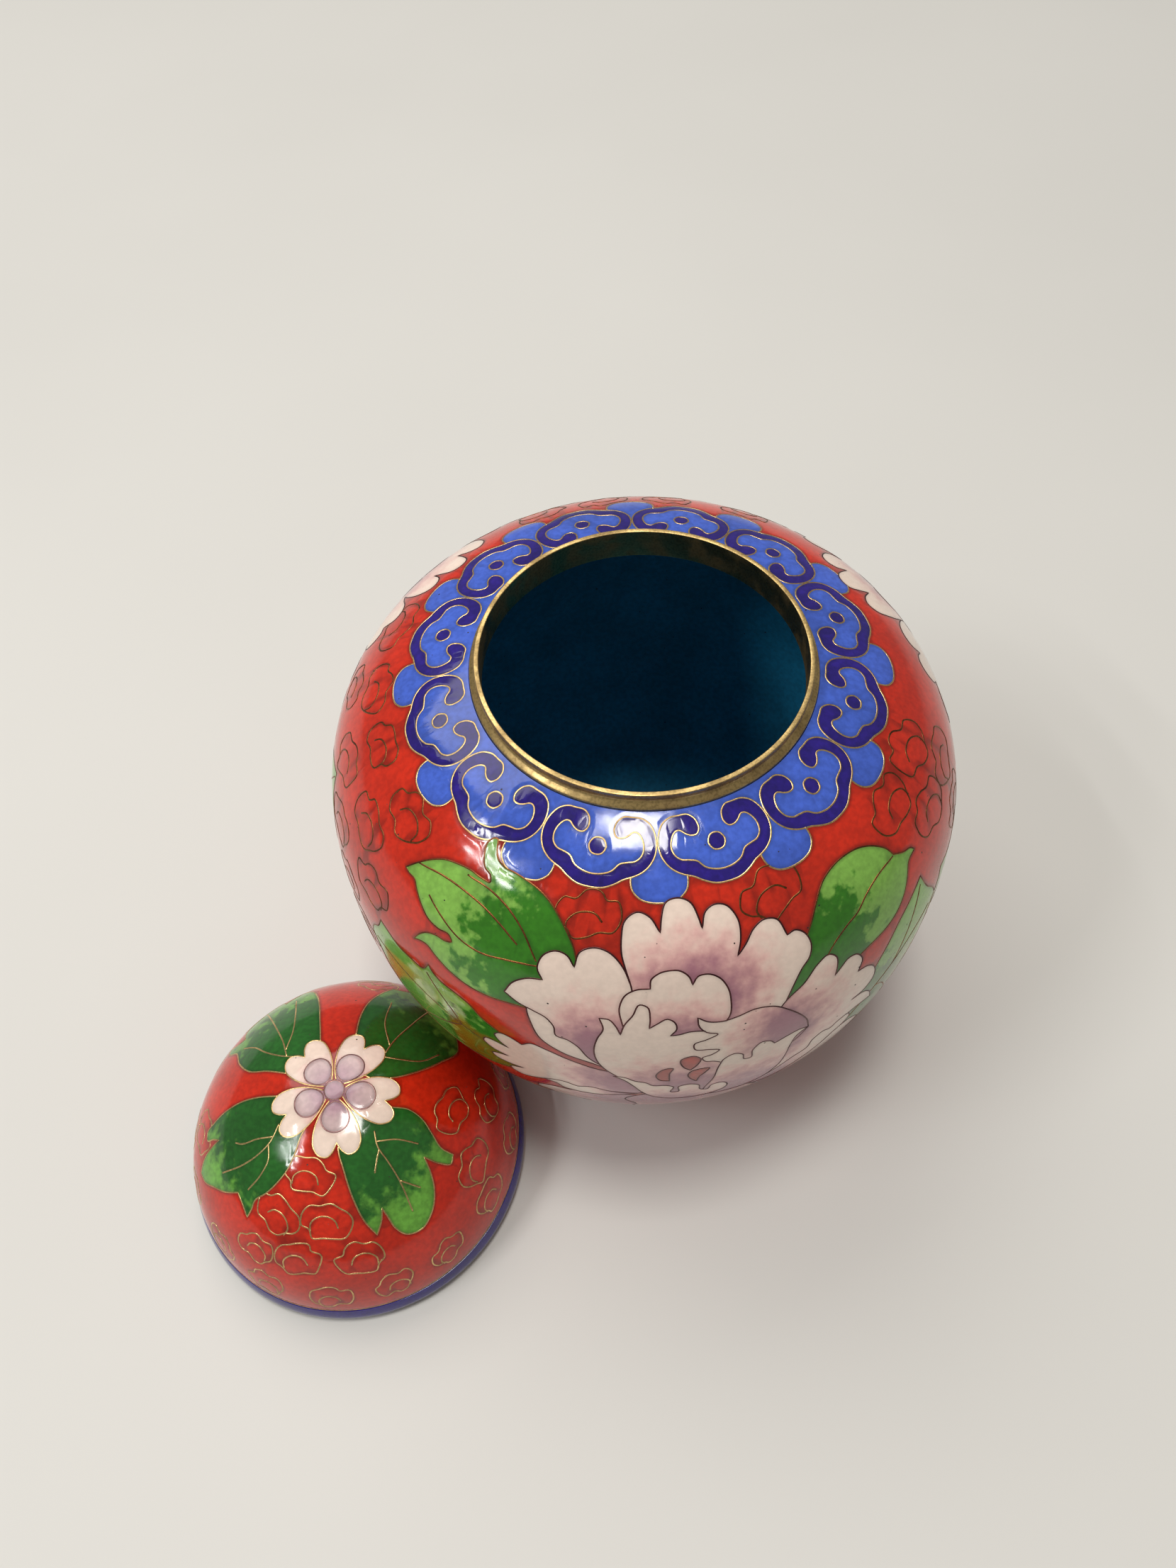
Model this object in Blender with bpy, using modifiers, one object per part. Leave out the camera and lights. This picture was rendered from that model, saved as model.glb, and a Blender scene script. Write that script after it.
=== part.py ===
"""Cloisonne ginger jar with its domed lid laid beside it.

Each metal piece and each field of enamel is one named object. The jar's and the lid's walls are
thin layers of revolution: enamel skin, copper sheet and an enamel lining. Flowers, leaves and the
collar are inlays that fill windows in the red skin.

World frame: +Z up, the table is z = 0, the origin is under the middle of the box that holds the
jar and the lid, -Y is the front and the lid lies at the jar's front left.
"""
from math import cos, hypot, pi, radians, sin

import bmesh
import bpy
from mathutils import Matrix, Vector

for item in list(bpy.data.objects):
    bpy.data.objects.remove(item, do_unlink=True)

# Jar, in metres
BELLY_RADIUS = 0.0536
BELLY_HEIGHT = 0.0566
SHOULDER_RISE = 0.0397
SHOULDER_POWER = 3.0
LOWER_DEPTH = 0.0611
LOWER_POWER = 2.0
LIP_HEIGHT = 0.097
LIP_RADIUS = 0.026
NECK_WALL = 0.0008
NECK_FLARE = 0.0012
SLEEVE_DEPTH = 0.00298
FOOT_HEIGHT = 0.0027
FOOT_WALL = 0.003
BASE_ENAMEL = 0.0006

# Lid, in metres
LID_RADIUS = 0.0318
LID_HEIGHT = 0.0316
LID_DOME = 0.0285
LID_BORDER_FLARE = 0.0007
LID_BORDER_HEIGHT = 0.0034
LID_BORDER_FOOT = 0.0012
LID_RIM_HEIGHT = 0.0016
LID_FIT = 0.0008
LID_CLEARANCE = 0.00424
LID_BEARING = 217.8

# Layers and clearances, in metres
ENAMEL = 0.0009
COPPER = 0.0011
LINING = 0.0006
GAP = 0.0003
WELD = 0.000002

# Reach of the cutters, and the lengths along the shoulder where their directions are taken
SIDE_DEPTH = 0.024
TOP_DEPTH = 0.030
FLOWER_MIDDLE = 0.044
LEAF_MIDDLE = 0.040
SLOPE_STEP = 0.0002

# Number of flats round a turned piece, a multiple of 4
STEPS = 32
LID_STEPS = 24

# Number of rings of corners down the jar's shoulder, its lower part and the lid's dome
SHOULDER_RINGS = 6
LOWER_RINGS = 5
LID_RINGS = 7

# Collar of ruyi heads round the neck: (degrees from the head's middle, metres along the shoulder)
HEADS = 12
HEAD_OUTLINE = (
    (0, 0.0115), (8.0, 0.0096), (13.2, 0.0076), (14.6, 0.0048), (12.5, 0.0016), (5.0, 0.0014),
    (4.0, 0.0040), (10.4, 0.0036), (11.4, 0.0062), (6.0, 0.0078), (0, 0.0096),
)
COLLAR_EDGE = ((0, 0.0121), (5.5, 0.0110), (9.4, 0.0099), (10.8, 0.0124))
COLLAR_START = 0.0003
HEAD_START = -75.0

# Flowers and leaves of the jar: (degrees from the flower's axis, metres along the shoulder)
PEONY = (
    (-10, 0.0165), (-7.5, 0.0145), (-4, 0.0165), (-1, 0.0136), (3, 0.0136), (5, 0.0160),
    (9, 0.0140), (11, 0.0170), (10.5, 0.0220), (17, 0.0182), (20, 0.0215), (23.5, 0.0240),
    (18.5, 0.0320), (26.5, 0.0280), (32.5, 0.0330), (36, 0.0400), (33, 0.0445), (37, 0.0510),
    (33, 0.0600), (24, 0.0680), (10, 0.0770), (-4, 0.0800), (-16, 0.0750), (-24, 0.0660),
    (-28, 0.0605), (-34, 0.0530), (-31, 0.0440), (-20, 0.0435), (-11, 0.0475), (-23, 0.0400),
    (-29.5, 0.0310), (-24, 0.0265), (-23.5, 0.0220), (-19, 0.0230), (-16, 0.0200), (-10, 0.0230),
)
UPPER_LEFT_LEAF = (
    (-42.5, 0.0140), (-38, 0.0156), (-45, 0.0170), (-54.5, 0.0225), (-46, 0.0270), (-42, 0.0276),
    (-48.5, 0.0315), (-38, 0.0335), (-20, 0.0332), (-12, 0.0240), (-20, 0.0190), (-30, 0.0150),
)
UPPER_RIGHT_LEAF = (
    (51, 0.0246), (45, 0.0290), (40, 0.0320), (28, 0.0345), (14, 0.0350), (14, 0.0220),
    (24, 0.0205), (30, 0.0170), (38, 0.0162), (44, 0.0185), (46, 0.0220),
)
LOWER_LEFT_LEAF = (
    (-36, 0.0410), (-44, 0.0365), (-51, 0.0380), (-57, 0.0370), (-60, 0.0480), (-55, 0.0590),
    (-44, 0.0640), (-30, 0.0600), (-22, 0.0540), (-22, 0.0470),
)
LOWER_RIGHT_LEAF = (
    (38, 0.0370), (43, 0.0335), (50, 0.0300), (54, 0.0400), (52, 0.0520), (44, 0.0610),
    (32, 0.0640), (24, 0.0560), (26, 0.0440),
)
FLOWERS = (
    ("front", -87.0, ("upper_left", "upper_right", "lower_left", "lower_right")),
    ("right_back", 28.0, ("lower_left", "lower_right")),
    ("left_back", 138.0, ("lower_left", "lower_right")),
)
LEAVES = {
    "upper_left": UPPER_LEFT_LEAF,
    "upper_right": UPPER_RIGHT_LEAF,
    "lower_left": LOWER_LEFT_LEAF,
    "lower_right": LOWER_RIGHT_LEAF,
}

# Blossom of the lid: (degrees from a petal's middle, metres along the dome from its top), and
# leaves of the lid: metres along the dome from its top, to the right and to the back
PETALS = 5
PETAL_START = 60.0
PETAL_SHAPE = (
    (-36, 0.0042), (-24, 0.0078), (-13, 0.0105), (0, 0.0092), (13, 0.0105), (24, 0.0078),
)
LID_LEAVES = {
    "lid_leaf_front_right": (
        (0.0015, -0.0015), (0.0115, -0.0025), (0.0170, -0.0050), (0.0230, -0.0100),
        (0.0185, -0.0120), (0.0195, -0.0200), (0.0145, -0.0245), (0.0105, -0.0205),
        (0.0080, -0.0240), (0.0035, -0.0160), (0.0025, -0.0080),
    ),
    "lid_leaf_front_left": (
        (-0.0060, -0.0005), (-0.0180, 0.0010), (-0.0275, -0.0030), (-0.0245, -0.0055),
        (-0.0308, -0.0115), (-0.0240, -0.0153), (-0.0185, -0.0160), (-0.0165, -0.0200),
        (-0.0100, -0.0145), (-0.0055, -0.0075),
    ),
    "lid_leaf_back_left": (
        (-0.0035, 0.0060), (-0.0045, 0.0190), (-0.0080, 0.0270), (-0.0130, 0.0315),
        (-0.0190, 0.0270), (-0.0250, 0.0225), (-0.0240, 0.0175), (-0.0285, 0.0165),
        (-0.0200, 0.0090), (-0.0060, 0.0040),
    ),
    "lid_leaf_back_right": (
        (0.0020, 0.0060), (0.0040, 0.0220), (0.0080, 0.0280), (0.0150, 0.0300),
        (0.0190, 0.0250), (0.0250, 0.0210), (0.0245, 0.0130), (0.0200, 0.0065), (0.0080, 0.0040),
    ),
}

# Finishes: (colour, roughness, metallic)
FINISHES = {
    "brass": ((0.62, 0.44, 0.19, 1.0), 0.32, 1.0),
    "copper": ((0.55, 0.27, 0.16, 1.0), 0.40, 1.0),
    "counter_enamel": ((0.004, 0.022, 0.045, 1.0), 0.18, 0.0),
    "red_enamel": ((0.55, 0.018, 0.008, 1.0), 0.10, 0.0),
    "light_blue_enamel": ((0.085, 0.150, 0.620, 1.0), 0.12, 0.0),
    "dark_blue_enamel": ((0.020, 0.008, 0.200, 1.0), 0.12, 0.0),
    "petal_enamel": ((0.74, 0.52, 0.46, 1.0), 0.14, 0.0),
    "leaf_enamel": ((0.060, 0.240, 0.020, 1.0), 0.14, 0.0),
}

# Places that follow from the sizes above
LID_EDGE = LID_RADIUS + LID_BORDER_FLARE
NECK_BASE_RADIUS = LIP_RADIUS + NECK_FLARE
BASE_LEVEL = FOOT_HEIGHT + GAP
BORDER_TOP = LID_RIM_HEIGHT + GAP + LID_BORDER_HEIGHT
HALF_GAP = GAP / 2
COPPER_INSET = ENAMEL + GAP
LINING_INSET = COPPER_INSET + COPPER + GAP

PARTS = bpy.data.collections.new("ginger_jar")
CUTTERS = bpy.data.collections.new("cutters")
bpy.context.scene.collection.children.link(PARTS)
bpy.context.scene.collection.children.link(CUTTERS)


def make_material(name, finish):
    """A Principled material with one of the named finishes."""
    colour, roughness, metallic = FINISHES[finish]
    material = bpy.data.materials.new(name)
    material.use_nodes = True
    shader = material.node_tree.nodes["Principled BSDF"]
    shader.inputs["Base Color"].default_value = colour
    shader.inputs["Roughness"].default_value = roughness
    shader.inputs["Metallic"].default_value = metallic
    material.diffuse_color = colour
    return material


# Outlines of revolution, as (radius, height) points


def arc_lengths(points):
    """Distance along the outline at each of its points."""
    lengths = [0.0]
    for a, b in zip(points, points[1:]):
        lengths.append(lengths[-1] + hypot(b[0] - a[0], b[1] - a[1]))
    return lengths


def point_at(points, lengths, length):
    """The point at a distance along the outline."""
    length = min(max(length, 0.0), lengths[-1])
    i = 1
    while lengths[i] < length and i < len(lengths) - 1:
        i += 1
    share = (length - lengths[i - 1]) / max(lengths[i] - lengths[i - 1], 1e-12)
    a, b = points[i - 1], points[i]
    return (a[0] + (b[0] - a[0]) * share, a[1] + (b[1] - a[1]) * share)


def layer(points, start, end, rings, inset):
    """Evenly spaced points of an outline between two lengths, each moved into the wall."""
    lengths = arc_lengths(points)
    moved = []
    for i in range(rings):
        length = start + (end - start) * i / (rings - 1)
        here = point_at(points, lengths, length)
        before = point_at(points, lengths, length - SLOPE_STEP)
        after = point_at(points, lengths, length + SLOPE_STEP)
        along = (Vector(after) - Vector(before)).normalized()
        moved.append((here[0] + along.y * inset, here[1] - along.x * inset))
    return moved


def jar_outline(samples=720):
    """The jar's outer enamel surface, from the neck ring's foot down to the foot ring."""
    points = []
    for i in range(samples + 1):
        turn = pi / 2 - pi * i / samples
        upper = turn >= 0
        power = SHOULDER_POWER if upper else LOWER_POWER
        height = SHOULDER_RISE if upper else -LOWER_DEPTH
        radius = BELLY_RADIUS * max(cos(turn), 0) ** (2 / power)
        level = BELLY_HEIGHT + height * abs(sin(turn)) ** (2 / power)
        if (radius > NECK_BASE_RADIUS or not upper) and level > BASE_LEVEL:
            points.append((radius, level))
    return points


def lid_outline(samples=180):
    """The lid's outer enamel surface, from the top of the dome to the dome's edge."""
    base = LID_HEIGHT - LID_DOME
    points = []
    for i in range(samples + 1):
        turn = pi / 2 * i / samples
        points.append((LID_RADIUS * sin(turn), base + LID_DOME * cos(turn)))
    return points


def radius_at(outline, level):
    """An outline's widest radius at a height, or 0 where it doesn't reach."""
    widest = 0.0
    for (r1, z1), (r2, z2) in zip(outline, outline[1:]):
        if min(z1, z2) <= level <= max(z1, z2) and z1 != z2:
            widest = max(widest, r1 + (r2 - r1) * (level - z1) / (z2 - z1))
    return widest


def touching_distance():
    """How far apart the two axes would be with the lid's dome against the jar."""
    return max(radius_at(CHART, level) + radius for radius, level in DOME)


def jar_wall(inset):
    """The jar's wall surface at a depth in the wall, with one ring of corners at the belly."""
    widest = max(range(len(CHART)), key=lambda i: CHART[i][0])
    belly = CHART_LENGTHS[widest]
    shoulder = layer(CHART, COLLAR_START, belly, SHOULDER_RINGS, inset)
    lower = layer(CHART, belly, CHART_LENGTHS[-1], LOWER_RINGS, inset)
    return shoulder + lower[1:]


def lid_wall(inset):
    """The lid's wall surface at a depth in the wall, from the axis to the border's top."""
    points = [p for p in DOME if p[1] > BORDER_TOP + GAP]
    wall = layer(points, 0, arc_lengths(points)[-1], LID_RINGS, inset)
    wall[0] = (0.0, wall[0][1])
    return wall


# Solids


def link_solid(name, mesh, finish, axis):
    """Place a mesh as a named piece on the jar's or the lid's axis."""
    piece = bpy.data.objects.new(name, mesh)
    piece.location = axis
    mesh.materials.append(make_material(name, finish))
    PARTS.objects.link(piece)
    return piece


def turned(name, outline, closed, finish, axis, steps):
    """A profile in the XZ plane, spun round Z with a Screw modifier."""
    mesh = bpy.data.meshes.new(name)
    edges = [(i, i + 1) for i in range(len(outline) - 1)]
    if closed:
        edges.append((len(outline) - 1, 0))
    mesh.from_pydata([(radius, 0, height) for radius, height in outline], edges, [])
    piece = link_solid(name, mesh, finish, axis)
    screw = piece.modifiers.new("turn", "SCREW")
    screw.angle = 2 * pi
    screw.steps = steps
    screw.render_steps = steps
    screw.use_merge_vertices = True
    screw.merge_threshold = WELD
    screw.use_smooth_shade = True
    return piece


def turned_shell(name, outline, thickness, finish, axis, steps):
    """An open turned surface made solid inwards."""
    piece = turned(name, outline, False, finish, axis, steps)
    solidify = piece.modifiers.new("wall", "SOLIDIFY")
    solidify.thickness = thickness
    solidify.offset = -1
    solidify.use_even_offset = True
    return piece


def grown(points, margin):
    """A closed flat outline moved outwards by a margin, or inwards by a negative one."""
    count = len(points)
    area = sum(
        points[i][0] * points[(i + 1) % count][1] - points[(i + 1) % count][0] * points[i][1]
        for i in range(count)
    )
    side = 1 if area > 0 else -1
    moved = []
    for i, point in enumerate(points):
        before = (Vector(point) - Vector(points[i - 1])).normalized()
        after = (Vector(points[(i + 1) % count]) - Vector(point)).normalized()
        normal = (Vector((before.y, -before.x)) + Vector((after.y, -after.x))).normalized()
        moved.append(Vector(point) + normal * side * margin)
    return moved


def prism(name, outlines, half_depth, place):
    """A cutter: flat outlines extruded both ways along the local Z of a placing matrix."""
    curve = bpy.data.curves.new(name, "CURVE")
    curve.dimensions = "2D"
    curve.fill_mode = "BOTH"
    curve.extrude = half_depth
    for outline in outlines:
        spline = curve.splines.new("POLY")
        spline.points.add(len(outline) - 1)
        for point, (x, y) in zip(spline.points, outline):
            point.co = (x, y, 0, 1)
        spline.use_cyclic_u = True
    guide = bpy.data.objects.new(name + "_curve", curve)
    CUTTERS.objects.link(guide)
    bpy.context.view_layer.update()
    evaluated = guide.evaluated_get(bpy.context.evaluated_depsgraph_get())
    mesh = bpy.data.meshes.new_from_object(evaluated)
    bpy.data.objects.remove(guide, do_unlink=True)
    shape = bmesh.new()
    shape.from_mesh(mesh)
    bmesh.ops.remove_doubles(shape, verts=shape.verts, dist=WELD)
    bmesh.ops.recalc_face_normals(shape, faces=shape.faces)
    shape.to_mesh(mesh)
    shape.free()
    cutter = bpy.data.objects.new(name, mesh)
    cutter.matrix_world = place
    cutter.hide_render = True
    cutter.display_type = "WIRE"
    CUTTERS.objects.link(cutter)
    return cutter


def cut(piece, cutter, operation):
    """Add a Boolean of a cutter to a piece."""
    step = piece.modifiers.new(cutter.name, "BOOLEAN")
    step.operation = operation
    step.solver = "EXACT"
    step.object = cutter


# Patterns


def on_shoulder(degrees, length):
    """A point of the jar's surface in its own frame, from degrees round it and length along it."""
    radius, height = point_at(CHART, CHART_LENGTHS, length)
    turn = radians(degrees)
    return Vector((radius * cos(turn), radius * sin(turn), height))


def plan_of_jar(outline, axis_degrees):
    """A pattern near the neck as a flat outline seen from above."""
    points = [on_shoulder(axis_degrees + degrees, length) for degrees, length in outline]
    return [(point.x, point.y) for point in points]


def plan_of_lid(outline):
    """A pattern of the lid as a flat outline seen from above."""
    lengths = arc_lengths(DOME)
    flat = []
    for x, y in outline:
        radius = point_at(DOME, lengths, hypot(x, y))[0]
        flat.append((x * radius / hypot(x, y), y * radius / hypot(x, y)))
    return flat


def side_frame(axis_degrees, length):
    """A placing matrix on the jar's side: local X round the jar, Y up it and Z out of it."""
    origin = on_shoulder(axis_degrees, length)
    down = on_shoulder(axis_degrees, length + SLOPE_STEP) - origin
    across = Vector((-sin(radians(axis_degrees)), cos(radians(axis_degrees)), 0))
    up = -down.normalized()
    matrix = Matrix((across, up, across.cross(up))).transposed().to_4x4()
    matrix.translation = origin
    return matrix


def side_outline(outline, axis_degrees, frame):
    """A pattern of the jar's side as a flat outline in a side frame."""
    inverse = frame.inverted()
    points = [on_shoulder(axis_degrees + degrees, length) for degrees, length in outline]
    local = [inverse @ point for point in points]
    return [(point.x, point.y) for point in local]


def mirrored(half):
    """A whole outline from its half, which starts and ends on the middle line."""
    return list(half) + [(-degrees, length) for degrees, length in half[-2:0:-1]]


def collar_outline():
    """The collar's scalloped edge seen from above, as one ring of points."""
    half = list(COLLAR_EDGE)
    lobe = half + [(360 / HEADS - degrees, length) for degrees, length in half[:0:-1]]
    ring = []
    for head in range(HEADS):
        ring += plan_of_jar(lobe, HEAD_START + head * 360 / HEADS)
    return ring


def petal_outline():
    """The lid's blossom: rounded petals with a notch in each tip."""
    points = []
    for petal in range(PETALS):
        for turn, reach in PETAL_SHAPE:
            angle = radians(PETAL_START + petal * 360 / PETALS + turn)
            points.append((reach * cos(angle), reach * sin(angle)))
    return points


CHART = jar_outline()
CHART_LENGTHS = arc_lengths(CHART)
DOME = lid_outline()
LID_DISTANCE = touching_distance() + LID_CLEARANCE
LID_OFFSET = Vector((
    LID_DISTANCE * cos(radians(LID_BEARING)),
    LID_DISTANCE * sin(radians(LID_BEARING)),
    0,
))
BOX_MIDDLE = Vector((
    (BELLY_RADIUS + LID_OFFSET.x - LID_EDGE) / 2,
    (BELLY_RADIUS + LID_OFFSET.y - LID_EDGE) / 2,
    0,
))
JAR_AXIS = -BOX_MIDDLE
LID_AXIS = LID_OFFSET - BOX_MIDDLE


# Jar


def make_jar_metal():
    """Copper body, neck ring, foot ring and the enamel disc under the base."""
    wall = jar_wall(COPPER_INSET)
    mouth = (LIP_RADIUS + GAP, wall[0][1])
    corner = (wall[-1][0] - (wall[-1][1] - BASE_LEVEL), BASE_LEVEL)
    outline = [mouth] + wall + [corner, (0, BASE_LEVEL)]
    turned_shell("jar_copper_body", outline, COPPER, "copper", JAR_AXIS, STEPS)

    seat = mouth[1] + GAP
    flange = NECK_BASE_RADIUS - GAP
    inner = LIP_RADIUS - NECK_WALL
    bottom = CHART[0][1] - SLEEVE_DEPTH
    ring = [
        (inner, LIP_HEIGHT), (LIP_RADIUS, LIP_HEIGHT), (flange, CHART[0][1] + GAP), (flange, seat),
        (LIP_RADIUS, seat), (LIP_RADIUS, bottom), (inner, bottom),
    ]
    turned("neck_ring", ring, True, "brass", JAR_AXIS, STEPS)

    outer = CHART[-1][0] - GAP
    inside = outer - FOOT_WALL
    foot = [(outer, FOOT_HEIGHT), (outer, 0), (inside, 0), (inside, FOOT_HEIGHT)]
    turned("foot_ring", foot, True, "brass", JAR_AXIS, STEPS)

    edge = inside - GAP
    disc = [(0, FOOT_HEIGHT), (edge, FOOT_HEIGHT), (edge, FOOT_HEIGHT - BASE_ENAMEL)]
    disc.append((0, FOOT_HEIGHT - BASE_ENAMEL))
    turned("base_counter_enamel", disc, False, "counter_enamel", JAR_AXIS, STEPS)


def make_jar_lining():
    """The dark enamel inside the jar."""
    wall = jar_wall(LINING_INSET)
    floor = BASE_LEVEL + COPPER + GAP
    mouth = (LIP_RADIUS + GAP, wall[0][1])
    corner = (wall[-1][0] - (wall[-1][1] - floor), floor)
    outline = [mouth] + wall + [corner, (0, floor)]
    turned_shell("jar_lining_enamel", outline, LINING, "counter_enamel", JAR_AXIS, STEPS)


def jar_skin(name, finish):
    """The jar's whole outer enamel layer, to be cut to one field."""
    return turned_shell(name, jar_wall(0), ENAMEL, finish, JAR_AXIS, STEPS)


def make_collar():
    """The collar's light field and its dark ruyi heads; gives back the window that they fill."""
    place = Matrix.Translation(JAR_AXIS + Vector((0, 0, LIP_HEIGHT)))
    ring = collar_outline()
    head = mirrored(HEAD_OUTLINE)
    plans = [plan_of_jar(head, HEAD_START + i * 360 / HEADS) for i in range(HEADS)]

    field = jar_skin("collar_field_enamel", "light_blue_enamel")
    cut(field, prism("collar_edge", [grown(ring, -HALF_GAP)], TOP_DEPTH, place), "INTERSECT")
    windows = [grown(plan, HALF_GAP) for plan in plans]
    cut(field, prism("head_windows", windows, TOP_DEPTH, place), "DIFFERENCE")
    for i, plan in enumerate(plans):
        name = f"ruyi_head_{i + 1:02d}"
        piece = jar_skin(name, "dark_blue_enamel")
        cut(piece, prism(name + "_edge", [grown(plan, -HALF_GAP)], TOP_DEPTH, place), "INTERSECT")
    return prism("collar_window", [grown(ring, HALF_GAP)], TOP_DEPTH, place)


def make_inlay(name, finish, outline, axis_degrees, frame, others):
    """One inlay of the jar's side, clear of other windows; gives back the window that it fills."""
    flat = side_outline(outline, axis_degrees, frame)
    place = Matrix.Translation(JAR_AXIS) @ frame
    piece = jar_skin(name, finish)
    cut(piece, prism(name + "_edge", [grown(flat, -HALF_GAP)], SIDE_DEPTH, place), "INTERSECT")
    for window in others:
        cut(piece, window, "DIFFERENCE")
    return prism(name + "_window", [grown(flat, HALF_GAP)], SIDE_DEPTH, place)


def make_flowers(collar):
    """The peonies and their leaves, each clear of the windows before it; gives back all windows."""
    windows = [collar]
    for side, axis_degrees, leaves in FLOWERS:
        frame = side_frame(axis_degrees, FLOWER_MIDDLE)
        name = f"peony_{side}_enamel"
        windows.append(make_inlay(name, "petal_enamel", PEONY, axis_degrees, frame, windows[:]))
        for leaf in leaves:
            outline = LEAVES[leaf]
            middle = sum(point[0] for point in outline) / len(outline)
            frame = side_frame(axis_degrees + middle, LEAF_MIDDLE)
            name = f"leaf_{side}_{leaf}"
            windows.append(make_inlay(name, "leaf_enamel", outline, axis_degrees, frame, windows[:]))
    return windows


def make_jar():
    """Every piece of the jar."""
    make_jar_metal()
    make_jar_lining()
    ground = jar_skin("jar_ground_enamel", "red_enamel")
    for window in make_flowers(make_collar()):
        cut(ground, window, "DIFFERENCE")


# Lid


def lid_skin(name, finish):
    """The dome's whole outer enamel layer, to be cut to one field."""
    return turned_shell(name, lid_wall(0), ENAMEL, finish, LID_AXIS, LID_STEPS)


def make_lid_body():
    """Rim ring, copper shell, lining and border, standing on the rim beside the jar."""
    floor = LID_RIM_HEIGHT + GAP
    inner = NECK_BASE_RADIUS - GAP + LID_FIT
    outer = LID_RADIUS - GAP
    rim = [(outer, LID_RIM_HEIGHT), (outer, 0), (inner, 0), (inner, LID_RIM_HEIGHT)]
    turned("lid_rim_ring", rim, True, "brass", LID_AXIS, LID_STEPS)

    shell = lid_wall(COPPER_INSET)
    shell.append((LID_RADIUS - COPPER_INSET, floor))
    turned_shell("lid_copper_shell", shell, COPPER, "copper", LID_AXIS, LID_STEPS)
    lining = lid_wall(LINING_INSET)
    lining.append((LID_RADIUS - LINING_INSET, floor))
    turned_shell("lid_lining_enamel", lining, LINING, "counter_enamel", LID_AXIS, LID_STEPS)

    border = [
        (LID_RADIUS, BORDER_TOP), (LID_EDGE, floor + LID_BORDER_FOOT), (LID_EDGE, floor),
        (LID_RADIUS - ENAMEL, floor), (LID_RADIUS - ENAMEL, BORDER_TOP),
    ]
    turned("lid_border_enamel", border, True, "dark_blue_enamel", LID_AXIS, LID_STEPS)


def make_lid():
    """Every piece of the lid."""
    make_lid_body()
    place = Matrix.Translation(LID_AXIS + Vector((0, 0, LID_HEIGHT)))
    plan = plan_of_lid(petal_outline())
    window = prism("lid_blossom_window", [grown(plan, HALF_GAP)], TOP_DEPTH, place)
    edge = prism("lid_blossom_edge", [grown(plan, -HALF_GAP)], TOP_DEPTH, place)
    cut(lid_skin("lid_blossom_enamel", "petal_enamel"), edge, "INTERSECT")
    ground = lid_skin("lid_ground_enamel", "red_enamel")
    cut(ground, window, "DIFFERENCE")
    for name, outline in LID_LEAVES.items():
        plan = plan_of_lid(outline)
        leaf = lid_skin(name, "leaf_enamel")
        cut(leaf, prism(name + "_edge", [grown(plan, -HALF_GAP)], TOP_DEPTH, place), "INTERSECT")
        cut(leaf, window, "DIFFERENCE")
        cut(ground, prism(name + "_window", [grown(plan, HALF_GAP)], TOP_DEPTH, place), "DIFFERENCE")


make_jar()
make_lid()
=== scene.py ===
"""Looks of the cloisonne ginger jar and its loose lid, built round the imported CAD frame.

The jar's and the lid's outer surfaces are unrolled into flat charts. A chart point of the jar is
(degrees round its axis, millimetres down the wall from the neck ring); one of the lid is
(millimetres to the right, millimetres to the back) of the dome's top, along the dome. Motifs are
closed outlines in a chart, listed from the bottom one to the top one. Each makes a cell of enamel,
a thin closed solid, and its outline makes a raised wire wherever no higher motif covers it.
"""

from collections import defaultdict, namedtuple
from math import cos, pi, radians, sin

import bmesh
import bpy
import numpy as np
from mathutils import Matrix, Vector, geometry, kdtree


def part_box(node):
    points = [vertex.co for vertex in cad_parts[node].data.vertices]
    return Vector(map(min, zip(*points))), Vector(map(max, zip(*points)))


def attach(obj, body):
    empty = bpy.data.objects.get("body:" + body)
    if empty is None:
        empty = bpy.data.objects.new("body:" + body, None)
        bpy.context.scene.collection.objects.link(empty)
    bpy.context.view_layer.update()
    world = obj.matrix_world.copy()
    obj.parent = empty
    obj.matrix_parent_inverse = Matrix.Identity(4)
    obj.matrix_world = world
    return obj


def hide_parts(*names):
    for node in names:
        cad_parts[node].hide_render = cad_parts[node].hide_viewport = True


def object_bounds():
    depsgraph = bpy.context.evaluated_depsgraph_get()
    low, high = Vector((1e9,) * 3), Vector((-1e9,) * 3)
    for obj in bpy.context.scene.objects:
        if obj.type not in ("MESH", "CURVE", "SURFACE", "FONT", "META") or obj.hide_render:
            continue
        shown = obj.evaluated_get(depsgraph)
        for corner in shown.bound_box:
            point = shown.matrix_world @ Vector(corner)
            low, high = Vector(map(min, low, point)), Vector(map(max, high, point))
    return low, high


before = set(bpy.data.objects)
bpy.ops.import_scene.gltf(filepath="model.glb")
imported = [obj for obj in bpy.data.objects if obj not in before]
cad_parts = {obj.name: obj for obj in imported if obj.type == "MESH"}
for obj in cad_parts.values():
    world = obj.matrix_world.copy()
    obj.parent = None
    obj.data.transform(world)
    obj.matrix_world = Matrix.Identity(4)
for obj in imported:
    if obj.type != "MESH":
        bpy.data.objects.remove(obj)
CAD_BOX = [list(corner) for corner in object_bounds()]

MM = 0.001

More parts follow.
